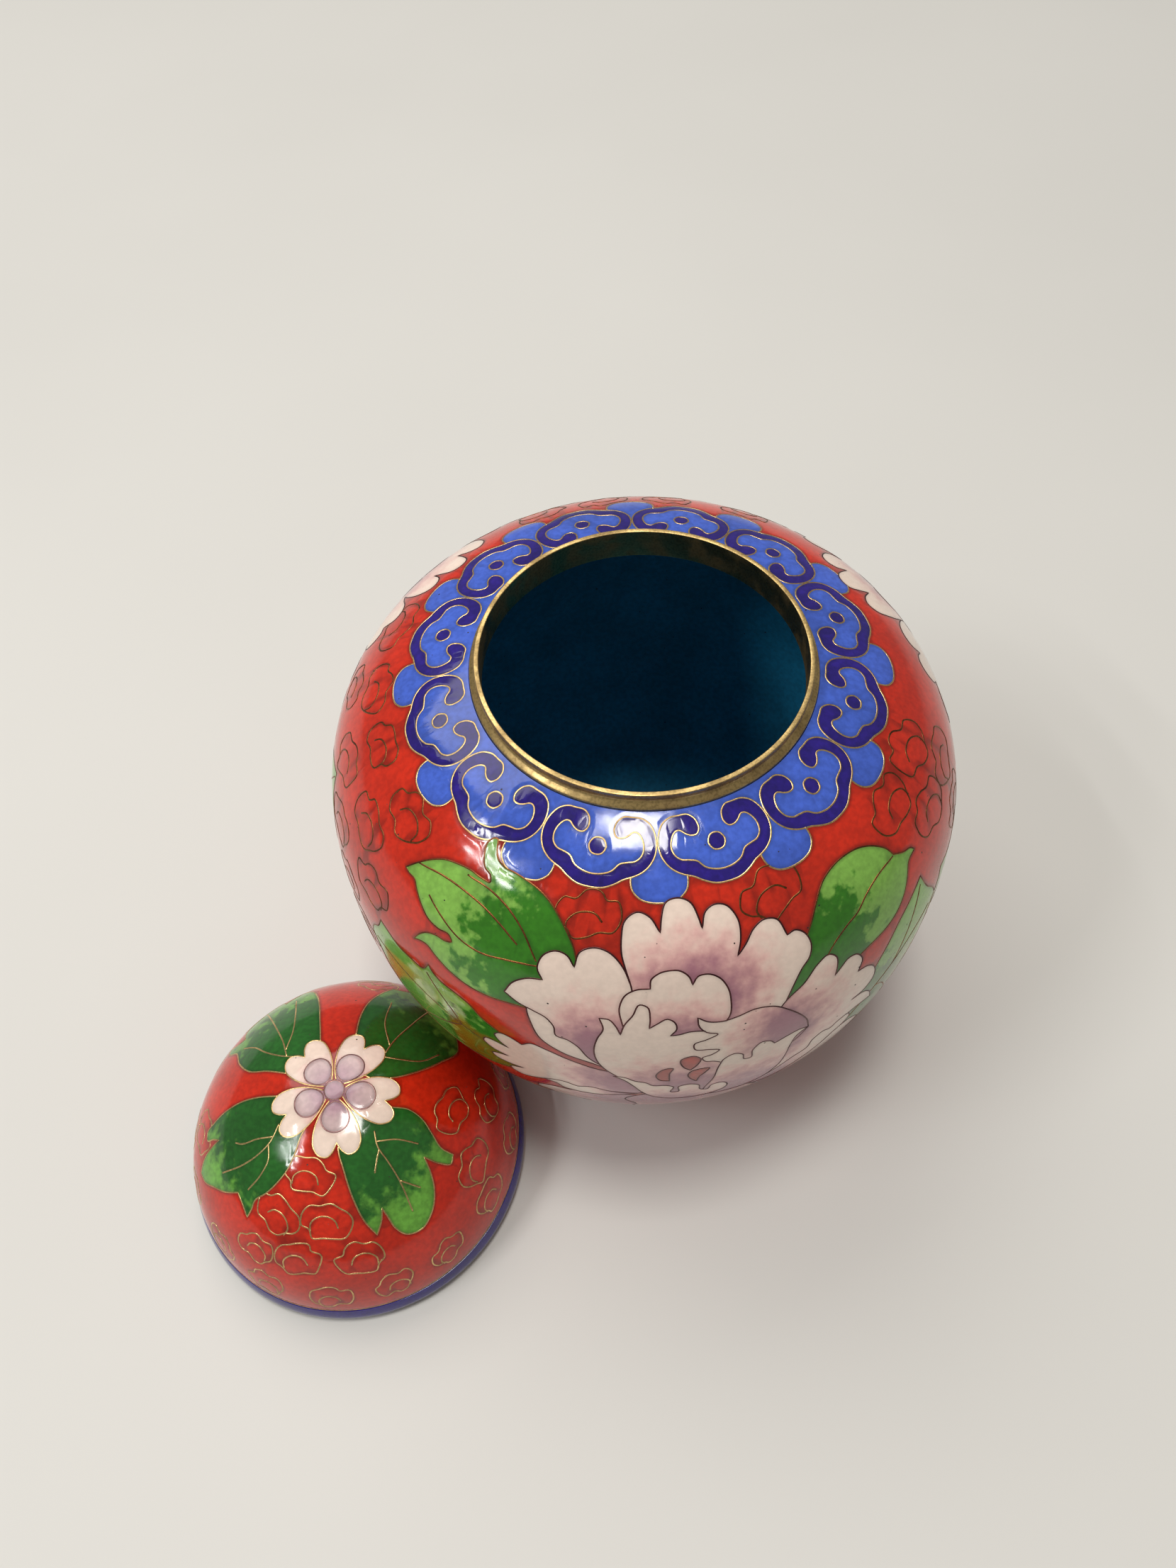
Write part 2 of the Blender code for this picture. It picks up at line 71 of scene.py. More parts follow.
# Places and sizes read from the frame, in metres
NECK_LOW, NECK_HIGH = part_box("neck_ring")
FOOT_LOW, FOOT_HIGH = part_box("foot_ring")
BASE_LOW, BASE_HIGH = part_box("base_counter_enamel")
RIM_LOW, RIM_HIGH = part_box("lid_rim_ring")
BORDER_LOW, BORDER_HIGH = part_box("lid_border_enamel")
JAR_AXIS = (NECK_LOW + NECK_HIGH) / 2
LID_AXIS = (RIM_LOW + RIM_HIGH) / 2
JAR_AXIS.z = LID_AXIS.z = 0
LIP_HEIGHT = NECK_HIGH.z
BELLY_RADIUS = CAD_BOX[1][0] - JAR_AXIS.x

# The jar's wall, in metres: two half superellipses, with their powers, that meet at the belly
SKIN_INSET = 0.00005
GAP = 0.0003
BELLY_HEIGHT = 0.0566
SHOULDER_RISE = 0.0397
SHOULDER_POWER = 3.0
LOWER_DEPTH = 0.0611
LOWER_POWER = 2.0
NECK_FOOT_RADIUS = 0.0270
LIP_RADIUS = 0.0260
LIP_WALL = 0.0008
ENAMEL = 0.0009
COPPER = 0.0011
LINING = 0.0006

# The lid's dome, in metres
LID_RADIUS = 0.0318
LID_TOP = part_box("lid_blossom_enamel")[1].z
LID_DOME = 0.0285
LID_RIM_BORE = 0.0277

# Wires, in millimetres; the crown is a share of the width
WIRE_WIDTH = 0.31
WIRE_RISE = 0.035
WIRE_DEPTH = 0.4
WIRE_SHOULDER = -0.02
WIRE_CROWN = 0.45
FAR_FROM_WIRES = 2.0

# Spacing of points along outlines and inside cells, in millimetres
OUTLINE_STEP = 0.45
CELL_STEP = 1.5
RING_STEP = 0.9
RING_INSET = 0.42
RING_CELL = 0.6
GRID_CELL = 1.0
SEAM_STEP = 0.8

# Shares: of the cell step between rows, and of the ring inset to keep clear of outlines
ROW_SHARE = 0.87
RING_CLEARANCE = 0.8
GRID_CLEARANCE = 1.6

# Numbers of points on the outer surfaces' profiles
JAR_PROFILE_STEPS = 2401
LID_PROFILE_STEPS = 601

# The camera: metres, degrees, and millimetres for the lens and the sensor
CAMERA_PLACE = Vector((0.0089, -0.1020, 0.2370))
CAMERA_PITCH = 57.18
CAMERA_ROLL = -2.53
CAMERA_LENS = 27.05
CAMERA_NEAREST = 0.01
SENSOR_WIDTH = 36


# Charts


class Chart:
    """A surface of revolution with its chart: polar charts hold x, y round the dome's top."""

    def __init__(self, axis, profile, polar):
        self.axis = np.array(axis)
        self.radius, self.height = np.array(profile).T
        steps = np.hypot(np.diff(self.radius), np.diff(self.height))
        self.along = np.concatenate([[0], np.cumsum(steps)]) / MM
        self.polar = polar
        slope_r = np.gradient(self.radius, self.along)
        slope_z = np.gradient(self.height, self.along)
        size = np.hypot(slope_r, slope_z)
        self.out_r, self.out_z = -slope_z / size, slope_r / size

    def turn_and_length(self, points):
        """Radians round the axis and millimetres down the wall of chart points."""
        points = np.asarray(points, float)
        if self.polar:
            return np.arctan2(points[:, 1], points[:, 0]), np.hypot(points[:, 0], points[:, 1])
        return np.radians(points[:, 0]), points[:, 1]

    def place(self, points, lift=0.0):
        """Places in space and outward normals of chart points, raised by lift millimetres."""
        turn, length = self.turn_and_length(points)
        out_r = np.interp(length, self.along, self.out_r)
        out_z = np.interp(length, self.along, self.out_z)
        radius = np.interp(length, self.along, self.radius) + out_r * lift * MM
        height = np.interp(length, self.along, self.height) + out_z * lift * MM
        spots = np.stack([radius * np.cos(turn), radius * np.sin(turn), height], 1) + self.axis
        normals = np.stack([out_r * np.cos(turn), out_r * np.sin(turn), out_z], 1)
        return spots, normals

    def width(self, points):
        """Millimetres on the surface for one chart unit across, at chart points."""
        if self.polar:
            return np.ones(len(points))
        length = np.asarray(points, float)[:, 1]
        return np.radians(1) * np.interp(length, self.along, self.radius) / MM

    def wall(self, inset, start, end, count):
        """Profile points of the wall at a depth in metres, between two lengths in millimetres."""
        length = np.linspace(start, end, count)
        radius = np.interp(length, self.along, self.radius)
        height = np.interp(length, self.along, self.height)
        radius = radius - inset * np.interp(length, self.along, self.out_r)
        height = height - inset * np.interp(length, self.along, self.out_z)
        return [(max(r, 0.0), z) for r, z in zip(radius, height)]


def jar_profile():
    """The jar's outer surface from the neck ring's foot down to the foot ring."""
    points = []
    for turn in np.linspace(pi / 2, -pi / 2, JAR_PROFILE_STEPS):
        upper = turn >= 0
        power = SHOULDER_POWER if upper else LOWER_POWER
        rise = (SHOULDER_RISE if upper else LOWER_DEPTH) - SKIN_INSET
        radius = (BELLY_RADIUS - SKIN_INSET) * max(cos(turn), 0) ** (2 / power)
        height = BELLY_HEIGHT + (rise if upper else -rise) * abs(sin(turn)) ** (2 / power)
        if (radius > NECK_FOOT_RADIUS or not upper) and height > FOOT_HIGH.z + GAP:
            points.append((radius, height))
    return points


def lid_profile():
    """The lid's outer surface from the top of the dome down to the border."""
    points = []
    for turn in np.linspace(0, pi / 2, LID_PROFILE_STEPS):
        height = LID_TOP - LID_DOME + (LID_DOME - SKIN_INSET) * cos(turn)
        if height > BORDER_HIGH.z:
            points.append(((LID_RADIUS - SKIN_INSET) * sin(turn), height))
    return points


JAR = Chart(JAR_AXIS, jar_profile(), False)
LID = Chart(LID_AXIS, lid_profile(), True)


# Outlines


def smooth(points, closed=True, step=OUTLINE_STEP):
    """A smooth line through chart points; a point with a third value is a sharp corner."""
    knots = np.array([point[:2] for point in points], float)
    sharp = [len(point) > 2 for point in points]
    count = len(knots)
    spans = count if closed else count - 1
    leg = [knots[(i + 1) % count] - knots[i] for i in range(spans)]
    size = [max(np.hypot(*v), 1e-9) for v in leg]
    line = []
    for i in range(spans):
        ends = []
        for k, before, after in ((i, i - 1, i), ((i + 1) % count, i, i + 1)):
            lone = not closed and (before < 0 or after >= spans)
            if sharp[k] or lone:
                ends.append(leg[i] / size[i])
                continue
            a, b = size[before % spans], size[after % spans]
            ends.append((leg[before % spans] / a * b + leg[after % spans] / b * a) / (a + b))
        for share in np.arange(0, 1, 1 / max(2, round(size[i] / step))):
            s2, s3 = share**2, share**3
            line.append(
                (2 * s3 - 3 * s2 + 1) * knots[i]
                + (s3 - 2 * s2 + share) * size[i] * ends[0]
                + (3 * s2 - 2 * s3) * knots[(i + 1) % count]
                + (s3 - s2) * size[i] * ends[1]
            )
    if not closed:
        line.append(knots[-1])
    return np.array(line)


def mirrored(half):
    """A whole outline from the half that starts and ends on the middle line."""
    return list(half) + [(-point[0],) + tuple(point[1:]) for point in half[-2:0:-1]]


def moved(points, dx, dy=0.0):
    """The points shifted in the chart."""
    return [(point[0] + dx, point[1] + dy) + tuple(point[2:]) for point in points]


def circle(place, across, down):
    """Eight points round a place, at a half-width and a half-height in chart units."""
    turns = np.arange(0, 2 * pi, pi / 4)
    return [(place[0] + across * cos(a), place[1] + down * sin(a)) for a in turns]


def inside(points, outline):
    """Which of the points lie inside a closed outline."""
    x, y = points[:, 0, None], points[:, 1, None]
    ax, ay = outline[:, 0], outline[:, 1]
    bx, by = np.roll(ax, -1), np.roll(ay, -1)
    crosses = (ay > y) != (by > y)
    with np.errstate(divide="ignore", invalid="ignore"):
        left = x < ax + (y - ay) * (bx - ax) / (by - ay)
    return (crosses & left).sum(1) % 2 == 1


def covered(points, motifs):
    """Which of the points lie under any of the motifs."""
    hidden = np.zeros(len(points), bool)
    for motif in motifs:
        low, high = motif.outline.min(0), motif.outline.max(0)
        near = np.all((points > low) & (points < high), 1) & ~hidden
        if near.any():
            hidden[near] = inside(points[near], motif.outline)
    return hidden


Motif = namedtuple("Motif", "piece outline enamel base reach wires")
Line = namedtuple("Line", "path closed wires")


def motif(piece, points, enamel, wires, base=None, reach=1.0, shift=0.0):
    """One motif; its colour turns from its base outwards, over a reach in millimetres."""
    outline = smooth(moved(points, shift))
    if base is not None:
        base = (base[0] + shift, base[1])
    return Motif(piece, outline, enamel, base, reach, wires)


# The collar: (degrees, millimetres down the wall) from the middle of a ruyi head

HEADS = 12
HEAD_START = -75.0
CHART_START = -150.0
HEAD = mirrored((
    (0, 11.5), (3, 11.3), (5.4, 10.6), (7.2, 9.9), (9, 9.5), (11, 8.9), (13, 7.8), (14.3, 6.4),
    (14.8, 5), (14.6, 3.5), (13.6, 2.1), (11.7, 1.2), (8.5, 0.9), (5.2, 1.1), (3.8, 2), (3.5, 3.1),
    (4.2, 3.9), (5.7, 4.1), (7.4, 3.7), (8.8, 3.1), (10, 3.2), (11.1, 4), (11.6, 5.2), (11.2, 6.3),
    (9.8, 7.2), (7.6, 7.5), (5.9, 7.8), (4.4, 8.8), (2.3, 9.4), (0, 9.6),
))
LOBE = (
    (-5.5, 8.2), (-6.3, 9.6), (-6, 11.1), (-4.4, 12.4), (-2, 13), (0, 13.1), (2, 13), (4.4, 12.4),
    (6, 11.1), (6.3, 9.6), (5.5, 8.2), (0, 6),
)
DOT_HEIGHT = 5.6
DOT_RADIUS = 1.25
FIELD_EDGE = 9.9
FIELD_DIP = 1.5
FIELD_STEP = 5


def collar():
    """The collar's motifs: lobes, field, ruyi heads and the dots in them."""
    found = []
    turns = [(HEAD_START - CHART_START + i * 360 / HEADS) % 360 + CHART_START for i in range(HEADS)]
    for turn in [CHART_START + i * 360 / HEADS for i in range(HEADS + 1)]:
        found.append(motif("collar_field", LOBE, "light_blue", "collar", shift=turn))
    band = [(CHART_START - 1, -0.2), (CHART_START + 361, -0.2)]
    for turn in [CHART_START + 360 - i * FIELD_STEP for i in range(360 // FIELD_STEP + 1)]:
        bulge = FIELD_EDGE - FIELD_DIP * (1 - cos(radians((turn - HEAD_START) * HEADS))) / 2
        band.append((turn, bulge))
    found.append(Motif("collar_field", np.array(band), "light_blue", None, 1, None))
    for i, turn in enumerate(turns):
        name = f"ruyi_head_{i + 1:02d}"
        found.append(motif(name, HEAD, "dark_blue", "collar", shift=turn))
        wide = DOT_RADIUS / JAR.width([(0, DOT_HEIGHT)])[0]
        ring = circle((0, DOT_HEIGHT), wide, DOT_RADIUS)
        found.append(motif(name, ring, "dark_blue", "collar", shift=turn))
    return found


# The peony and its leaves: (degrees from the flower's axis, millimetres down the wall).
# Each leaf: base of the colour, its reach in millimetres, outline. Each petal: its name first.

LEAVES = {
    "upper_left": ((-20, 27), 30, (
        (-42.3, 10.2), (-41.2, 9.9), (-40.3, 11), (-39, 12.2), (-37, 12.8), (-34, 12.9),
        (-31, 13.2), (-28, 13.8), (-25, 15), (-22.5, 16.7), (-20.5, 18.5), (-19, 20.3),
        (-17.5, 24), (-15, 30), (-22, 33), (-25, 33), (-28, 33.3), (-32, 33.9), (-36, 34),
        (-40, 33.3), (-43.5, 32), (-45.5, 31.2), (-47, 31.5), (-48.4, 32.2, 1), (-47.5, 30.5),
        (-46, 29), (-44, 28.2), (-42, 28), (-40.8, 27.4), (-41.6, 26.6), (-44, 26.8),
        (-46.5, 26.5), (-49, 25.2), (-51, 23.8), (-52.5, 22.7), (-54, 22.7), (-55.3, 22.4, 1),
        (-53.5, 20.3), (-51.5, 18.5), (-49, 17), (-46, 16.2), (-43, 15.8), (-40, 15.9),
        (-38, 15.7), (-38.5, 15), (-40.5, 14.3), (-42, 12.8), (-42.8, 11),
    )),
    "upper_right": ((22, 29), 23, (
        (17, 33), (19, 29), (22.5, 24), (25, 21.5), (27, 19.5), (30, 17.3), (33, 16.4),
        (37, 16.2), (41, 17), (44, 18.7), (45.7, 20.5), (46.3, 22, 1), (48.5, 23.3),
        (50.7, 24.2), (51.2, 24.9, 1), (48.5, 25.4), (47, 27), (45, 29), (42, 30.8),
        (39, 31.6), (35, 32), (31, 32.6), (27, 33.4), (23, 34),
    )),
    "lower_left": ((-26, 54), 29, (
        (-31, 43), (-34, 41), (-36, 39), (-39, 38), (-42, 37.5), (-43.8, 36.5), (-44.6, 35.5, 1),
        (-46, 37.8), (-49, 38), (-52, 38), (-55, 37.1), (-57.2, 36.5, 1), (-58, 39), (-60, 41.5),
        (-61, 44.5, 1), (-59.5, 49), (-58, 54), (-56, 57), (-57, 60.5, 1), (-53, 60),
        (-48, 63), (-43, 65, 1), (-38, 63.5), (-33, 61), (-29, 58), (-26, 54), (-26, 47),
    )),
    "lower_right": ((30, 54), 28, (
        (37, 38), (39, 36), (42, 33.5), (46, 31.6), (50, 30, 1), (51.5, 34), (54, 37.5),
        (55.6, 41, 1), (54.2, 45), (53.5, 49), (55, 52.5, 1), (50.5, 54), (47, 58),
        (43.5, 62.5, 1), (38, 62), (33, 64), (28, 61), (28, 54), (32, 46),
    )),
}
VEINS = {
    "upper_left": (
        ((-53.3, 20.2), (-47, 19), (-42, 18.9), (-37, 19.5), (-33, 20.7), (-29, 22.5)),
        ((-43, 16.6), (-37, 16.8), (-32.5, 18), (-28.5, 20.3), (-25, 24)),
        ((-48.2, 23), (-44, 24.7), (-40, 26), (-35.5, 26.4), (-30, 25.5), (-24, 24.6)),
    ),
    "upper_right": (
        ((46, 22.1), (41, 22.3), (37, 23.3), (34, 24.7), (31, 25.5), (28, 26.8), (24.5, 29.5)),
    ),
    "lower_left": (
        ((-59.5, 44.5), (-52, 45.5), (-45, 47), (-38, 49), (-31, 52)),
        ((-45, 38), (-42, 42), (-40, 45), (-38.5, 48.5)),
        ((-50, 60), (-46, 56), (-42, 52.5), (-38.5, 49)),
    ),
    "lower_right": (
        ((53, 41), (47, 42.5), (42, 45), (37, 48.5), (32, 53)),
        ((49.5, 31.5), (46.5, 36), (44, 40.5), (42, 44.8)),
        ((44, 61), (42.5, 55), (40, 50), (38, 47.8)),
    ),
}
PETALS = (
    ("sliver", (-8, 50), 10, (
        (-25.5, 32.8), (-24.6, 36.3), (-23, 40), (-19.5, 42.8), (-14, 45), (-11, 46.8, 1),
        (-13, 42), (-17, 36),
    )),
    ("left", (-12, 41), 17, (
        (-8.5, 25), (-9.8, 22.5), (-12.5, 20.3), (-15.5, 19.9), (-17.8, 21), (-18.3, 23.3, 1),
        (-19.8, 21.8), (-22, 21.5), (-24.2, 22.9), (-24.6, 25), (-23.4, 26.6, 1), (-26, 27.2),
        (-28.5, 29), (-29.6, 31.3, 1), (-27, 32.5), (-24.5, 33.1), (-22, 34), (-20.8, 35.5),
        (-20.3, 37.9), (-18.5, 38.3), (-17, 39.5), (-15, 43), (-11.8, 46.3, 1), (-8, 42), (-6, 32),
    )),
    ("crown", (3, 29), 15.5, (
        (-10.5, 18), (-10.2, 15.8), (-7.8, 14.3), (-5.2, 15), (-3.3, 17.2, 1), (-3, 15.2),
        (-2.2, 13.2), (0.5, 12.5), (3.2, 13.5), (4.2, 15.6), (4.6, 17.2, 1), (5.6, 15),
        (7.5, 14.2), (10.2, 14.8), (11.6, 17), (11.3, 19.8), (10.2, 22.2, 1), (12, 20.8),
        (14, 19), (16.4, 18.2), (18.8, 18.9), (19.8, 21.7, 1), (21.4, 21.5), (23, 22.6),
        (23.6, 24.6), (22.8, 26.6), (21, 28), (19, 30.5), (17.4, 33.2, 1), (14, 37), (2, 37),
        (-7, 33), (-8.5, 25), (-9.5, 22.5), (-10.3, 20.3),
    )),
    ("right", (13, 43), 20, (
        (17.6, 33), (21, 31), (24, 28.7), (26.2, 28.1), (27.7, 29.5), (27.5, 31.5),
        (26.9, 33, 1), (28.3, 32.1), (29.8, 31.3), (31.6, 31.6), (32.8, 33.5), (31.8, 36, 1),
        (33.6, 36.4), (35.3, 37.8), (36.1, 40), (35.8, 42.5), (34, 44.2), (31.4, 44.5, 1),
        (33.8, 45), (36.2, 47.7), (37.4, 51.2, 1), (33, 50.2), (29, 51), (25, 55), (19, 62),
        (12, 60), (13, 42),
    )),
    ("bottom_right", (12, 72), 19, (
        (21, 62), (24, 60), (27, 57), (29.5, 55), (32.5, 54.6), (35, 56.5), (36.4, 59.5),
        (34.5, 62.5, 1), (36, 64), (35, 67), (31.5, 68.3), (28.5, 68, 1), (27.5, 71), (24, 72.6),
        (20, 72, 1), (17, 74), (12, 72), (14, 64),
    )),
    ("low_right", (14, 62), 14, (
        (14, 64), (18, 59), (21, 56), (23.5, 54.8), (24.4, 51.7), (26.2, 50.6), (28, 51.4),
        (29.6, 50.4), (31.6, 50.3), (32.4, 52), (31.5, 54), (29.3, 55.4), (27, 58), (23, 62),
        (18, 66),
    )),
    ("bottom_left", (-6, 62), 20, (
        (-18, 60.8), (-22.5, 61.8), (-25, 64), (-25.3, 66.8), (-22.8, 68.5, 1), (-24, 70.6),
        (-22, 73.2), (-18.5, 73.8), (-16, 72.5, 1), (-15.6, 75.5), (-12.5, 77.5), (-8.5, 77.2),
        (-6.5, 75, 1), (-4, 76), (-3, 68), (-4, 60), (-10, 58.6),
    )),
    ("bottom", (0, 58), 23, (
        (-9, 62), (-7, 68), (-7.5, 74), (-5.5, 78), (-1.5, 79.6), (1.5, 77.6, 1), (4.5, 79.4),
        (8.5, 78), (10.6, 74.8, 1), (14, 75), (16.6, 72), (16, 68), (13, 63), (8, 58), (0, 56),
    )),
    ("low_left", (-7, 51), 17, (
        (-10.8, 47.7), (-13.5, 47), (-19, 44.8), (-22, 43.5), (-24.7, 42.9), (-26.5, 44.6, 1),
        (-28.2, 43.6), (-30.2, 43.4), (-31.5, 45), (-30.8, 46.8), (-29.2, 48.3, 1), (-31.5, 48),
        (-33.5, 48.4), (-34.1, 50), (-32.8, 51.6), (-29.6, 52.3, 1), (-31.7, 53.2), (-32.9, 54.3),
        (-32.2, 55.7), (-30, 56), (-27, 55.5, 1), (-28.3, 56.4), (-29.7, 57.6), (-29.3, 59.3),
        (-28, 60.2), (-25.5, 59.2), (-23.5, 57.8), (-22, 56.7), (-19.8, 56.1), (-17.3, 57.2, 1),
        (-15, 56.2), (-12, 57.2), (-7, 57.6, 1), (-4, 56), (-6, 50),
    )),
    ("curl", (-8, 57), 8, (
        (-23.4, 57.6, 1), (-21, 58.3), (-20, 60), (-17, 60.8), (-13, 60.3), (-10, 59),
        (-6.8, 57.5, 1), (-10, 57.6), (-12, 57.2), (-15, 56.2), (-17.3, 57.2, 1), (-19.8, 56.1),
        (-22, 56.7),
    )),
    ("round", (0, 38), 13, (
        (-9.8, 31.8), (-10.2, 29), (-9.3, 26.8), (-7.5, 25.8), (-5.2, 25.6, 1), (-5.1, 24.2),
        (-3.8, 23.2), (-2, 22.8), (0, 23), (1.5, 24.2), (1.9, 25.4, 1), (2.8, 24.2), (4.6, 24),
        (6.6, 25), (7.8, 27), (8.1, 29.5), (7.7, 32.5), (5, 35), (-5, 35), (-9, 34),
    )),
    ("centre", (1, 58), 21, (
        (-13.4, 31.6, 1), (-11.8, 31.7), (-10.7, 33), (-9.9, 34.9, 1), (-9.3, 32.6), (-8, 30.5),
        (-6.9, 28.4), (-5.7, 28.8), (-5.2, 31), (-5.3, 33.2, 1), (-4, 32.2), (-2.4, 31.3),
        (-1.3, 32), (-0.9, 33.6), (-1.9, 35.1, 1), (-0.5, 35), (1, 34.6), (3, 34.7), (6, 36),
        (8, 42), (7, 52), (4, 58), (-3, 58), (-7, 52), (-10.5, 49), (-13.2, 44.8), (-14.1, 40),
        (-13.6, 36.5), (-12.7, 33.8),
    )),
    ("hood", (20, 40), 15, (
        (2.5, 31.6, 1), (4.2, 32.8), (6.5, 33.3), (9, 33), (12, 32.4), (15.5, 33.3), (18, 35.5),
        (20, 38), (21.6, 41), (22.2, 44, 1), (20, 47), (14, 49), (8, 47), (5.5, 44.9), (4, 44.3),
        (3.5, 42.8), (5, 42.2), (6.2, 41), (4.5, 40.3), (2.2, 39.7), (2, 38), (4, 37.2),
        (5.8, 36.2), (4, 35.3), (2.7, 33.5),
    )),
    ("inner_right", (12, 63), 19, (
        (4.5, 59), (6, 52), (6.6, 47), (7.3, 44.7), (8.8, 43.7), (10.3, 44.7), (11, 47.1),
        (11.8, 47.2), (12.1, 44.2), (13.5, 42.4), (15, 43), (16, 44.6, 1), (18, 43.8),
        (20.5, 43.4), (22, 43.9, 1), (20.2, 45.3), (19.4, 48), (19, 52), (18, 57), (15, 62),
        (9, 63.5), (5, 62),
    )),
    ("front", (-1, 66), 14, (
        (-11, 49.2, 1), (-9, 49.6), (-7.5, 50.9), (-5.6, 51.7), (-4.2, 53.2), (-2.2, 53.3),
        (-0.9, 54.2), (-1, 57.3), (0, 57.4), (0.2, 54.3), (1.8, 53.7), (3.4, 54.6), (4.2, 57.8),
        (5.2, 58.4), (6, 56), (7.6, 55.8), (8.8, 57.6), (8.6, 60), (6, 62.5), (0, 62.6),
        (-4, 60), (-6.2, 56.5), (-7.8, 53), (-9.2, 50.8),
    )),
)
STAMENS = (
    ((0.2, 42.4), (2, 41.8), (3.2, 43), (2.9, 45), (1.7, 47.2, 1), (0.6, 45.8)),
    ((-2.5, 45.8), (-1.3, 45.6), (-1.7, 48), (-1.6, 51.2, 1), (-3, 50.8), (-3.9, 49), (-3.5, 47)),
    ((2, 47.6), (3.5, 47.1), (4.9, 47.3), (4.3, 49), (3.5, 50.4), (3, 52.5, 1), (1.9, 51),
     (1.4, 49.2)),
)
FLOWERS = (
    ("front", -87.0, ("upper_left", "upper_right", "lower_left", "lower_right")),
    ("right_back", 28.0, ("lower_left", "lower_right")),
    ("left_back", 138.0, ("lower_left", "lower_right")),
)


def flowers():
    """Motifs and veins of the three peonies and of their leaves."""
    found, veins = [], []
    for side, axis, leaves in FLOWERS:
        for leaf in leaves:
            name = f"leaf_{side}_{leaf}"
            base, reach, points = LEAVES[leaf]
            found.append(motif(name, points, "leaf", "leaf", base, reach, axis))
            for vein in VEINS[leaf]:
                line = Line(smooth(moved(vein, axis), False), False, "leaf")
                veins.append((len(found), line))
        for petal, base, reach, points in PETALS:
            name = f"peony_{side}_{petal}"
            found.append(motif(name, points, "petal", f"peony_{side}", base, reach, axis))
        for points in STAMENS:
            name = f"peony_{side}_stamens"
            found.append(motif(name, points, "stamen", f"peony_{side}", shift=axis))
    return found, veins


# The lid: millimetres to the right and to the back of the dome's top

BLOSSOM_PLACE = (0.5, 0.8)
BLOSSOM_TURNS = (60, 132, 204, 276, 348)
LID_PETAL = mirrored((
    (0, 1, 1), (1.6, 2.6), (3.2, 5), (4.1, 7.5), (4.2, 9.6), (3.2, 11.2), (1.9, 11.5),
    (0.9, 10.8), (0, 9.3, 1),
))
LID_INNER_PETAL = mirrored(((0, 2.1), (1.2, 2.6), (2.2, 3.9), (2.5, 5.3), (1.9, 6.7), (0, 7.5)))
LID_CENTRE_RADIUS = 1.8
EDGE_WIRE_INSET = 0.25
LID_LEAVES = {
    "front_right": ((4, -6), 20, (
        (3, -5), (1.8, -9.3), (2.8, -13), (4.5, -18), (6.5, -22), (8.8, -24.6, 1), (9.6, -22),
        (9.7, -19.8, 1), (10.7, -21.2), (12.2, -23.4), (14.5, -24.8), (17.5, -24), (19.3, -21),
        (19.6, -17), (18.6, -13.5), (17.2, -10.8, 1), (20, -11.7), (22.8, -11.6), (23, -10, 1),
        (20.5, -9), (18.5, -6.5), (16.5, -4), (14, -2.5), (10.5, -2.2), (6, -1),
    )),
    "front_left": ((-7, -4), 25, (
        (-6, 0), (-10.8, 0.7), (-14, 1), (-18, 0.9), (-22, 0), (-25.5, -1.5), (-28, -3),
        (-27.8, -4.5), (-25.5, -4.8), (-23.6, -5.3, 1), (-26, -6.3), (-29, -8), (-31, -10.4, 1),
        (-29.5, -12.3), (-26, -13.8), (-22, -15.2), (-18.6, -15.6, 1), (-17.8, -17.5),
        (-17, -20.2, 1), (-15.6, -18.8), (-14.6, -17.3), (-12, -16.2), (-9.5, -14.5),
        (-7.5, -12.5), (-6.1, -10), (-5, -7), (-3, -3),
    )),
    "back_left": ((-6, 9), 24, (
        (-3, 8), (-3.5, 12.5), (-4.5, 17), (-5.5, 21), (-7.5, 26), (-10.5, 30.3), (-13, 31.6, 1),
        (-14.2, 29.2), (-15.6, 26.8, 1), (-17.5, 28.8), (-19.5, 28.6), (-22, 26),
        (-24.8, 22.8, 1), (-24.2, 19.8), (-22.8, 17.4, 1), (-25, 17), (-28.6, 17.6, 1),
        (-27.2, 15.2), (-23.5, 13.5), (-21, 9.8), (-17.5, 7), (-13, 6), (-8, 4.5), (-4, 3),
    )),
    "back_right": ((5, 8), 24, (
        (2.5, 8), (3.3, 12), (3.5, 16), (4.5, 21), (6.5, 25), (9, 28.5, 1), (12, 28.2),
        (15, 30, 1), (18.5, 27.3), (20.8, 23.4, 1), (24.5, 22.5), (26, 18.5), (23.5, 15, 1),
        (23.6, 11.5), (20, 8), (15, 4.8), (10.5, 3.2), (7, 3),
    )),
}
LID_VEINS = (
    ((8.5, -8.3), (12, -7.9), (16, -8.5)),
    ((8, -6.5), (8.7, -9.2), (10.5, -11.6), (12.5, -14.5), (15.5, -20.5)),
    ((9, -9.5), (8.6, -11.5), (8.3, -13.7)),
    ((12.9, -15), (16.8, -16.2)),
    ((-9.3, -4.5), (-11, -7.5), (-13.5, -9.4), (-17, -10.8), (-22.5, -11.6)),
    ((-10.4, -6.6), (-13.5, -6.6), (-17.5, -7), (-18.8, -6.6)),
    ((-11.3, -7.8), (-11.3, -10.5), (-13, -13), (-16, -15.3)),
    ((-7.5, 8), (-11, 8.9), (-14.5, 10.5), (-18, 12.8), (-21.5, 14)),
    ((-9.5, 8.5), (-11, 12), (-13.5, 16), (-17, 21), (-20.5, 25.5)),
    ((-10, 10), (-9.5, 14), (-10.5, 20), (-12.5, 26)),
    ((8, 7.5), (11.5, 7.1), (16, 7.3), (19.5, 9.5)),
    ((8.8, 7.6), (10.5, 11), (13.5, 15.5), (17, 21)),
    ((9.8, 10), (8.5, 15), (9.2, 22)),
)


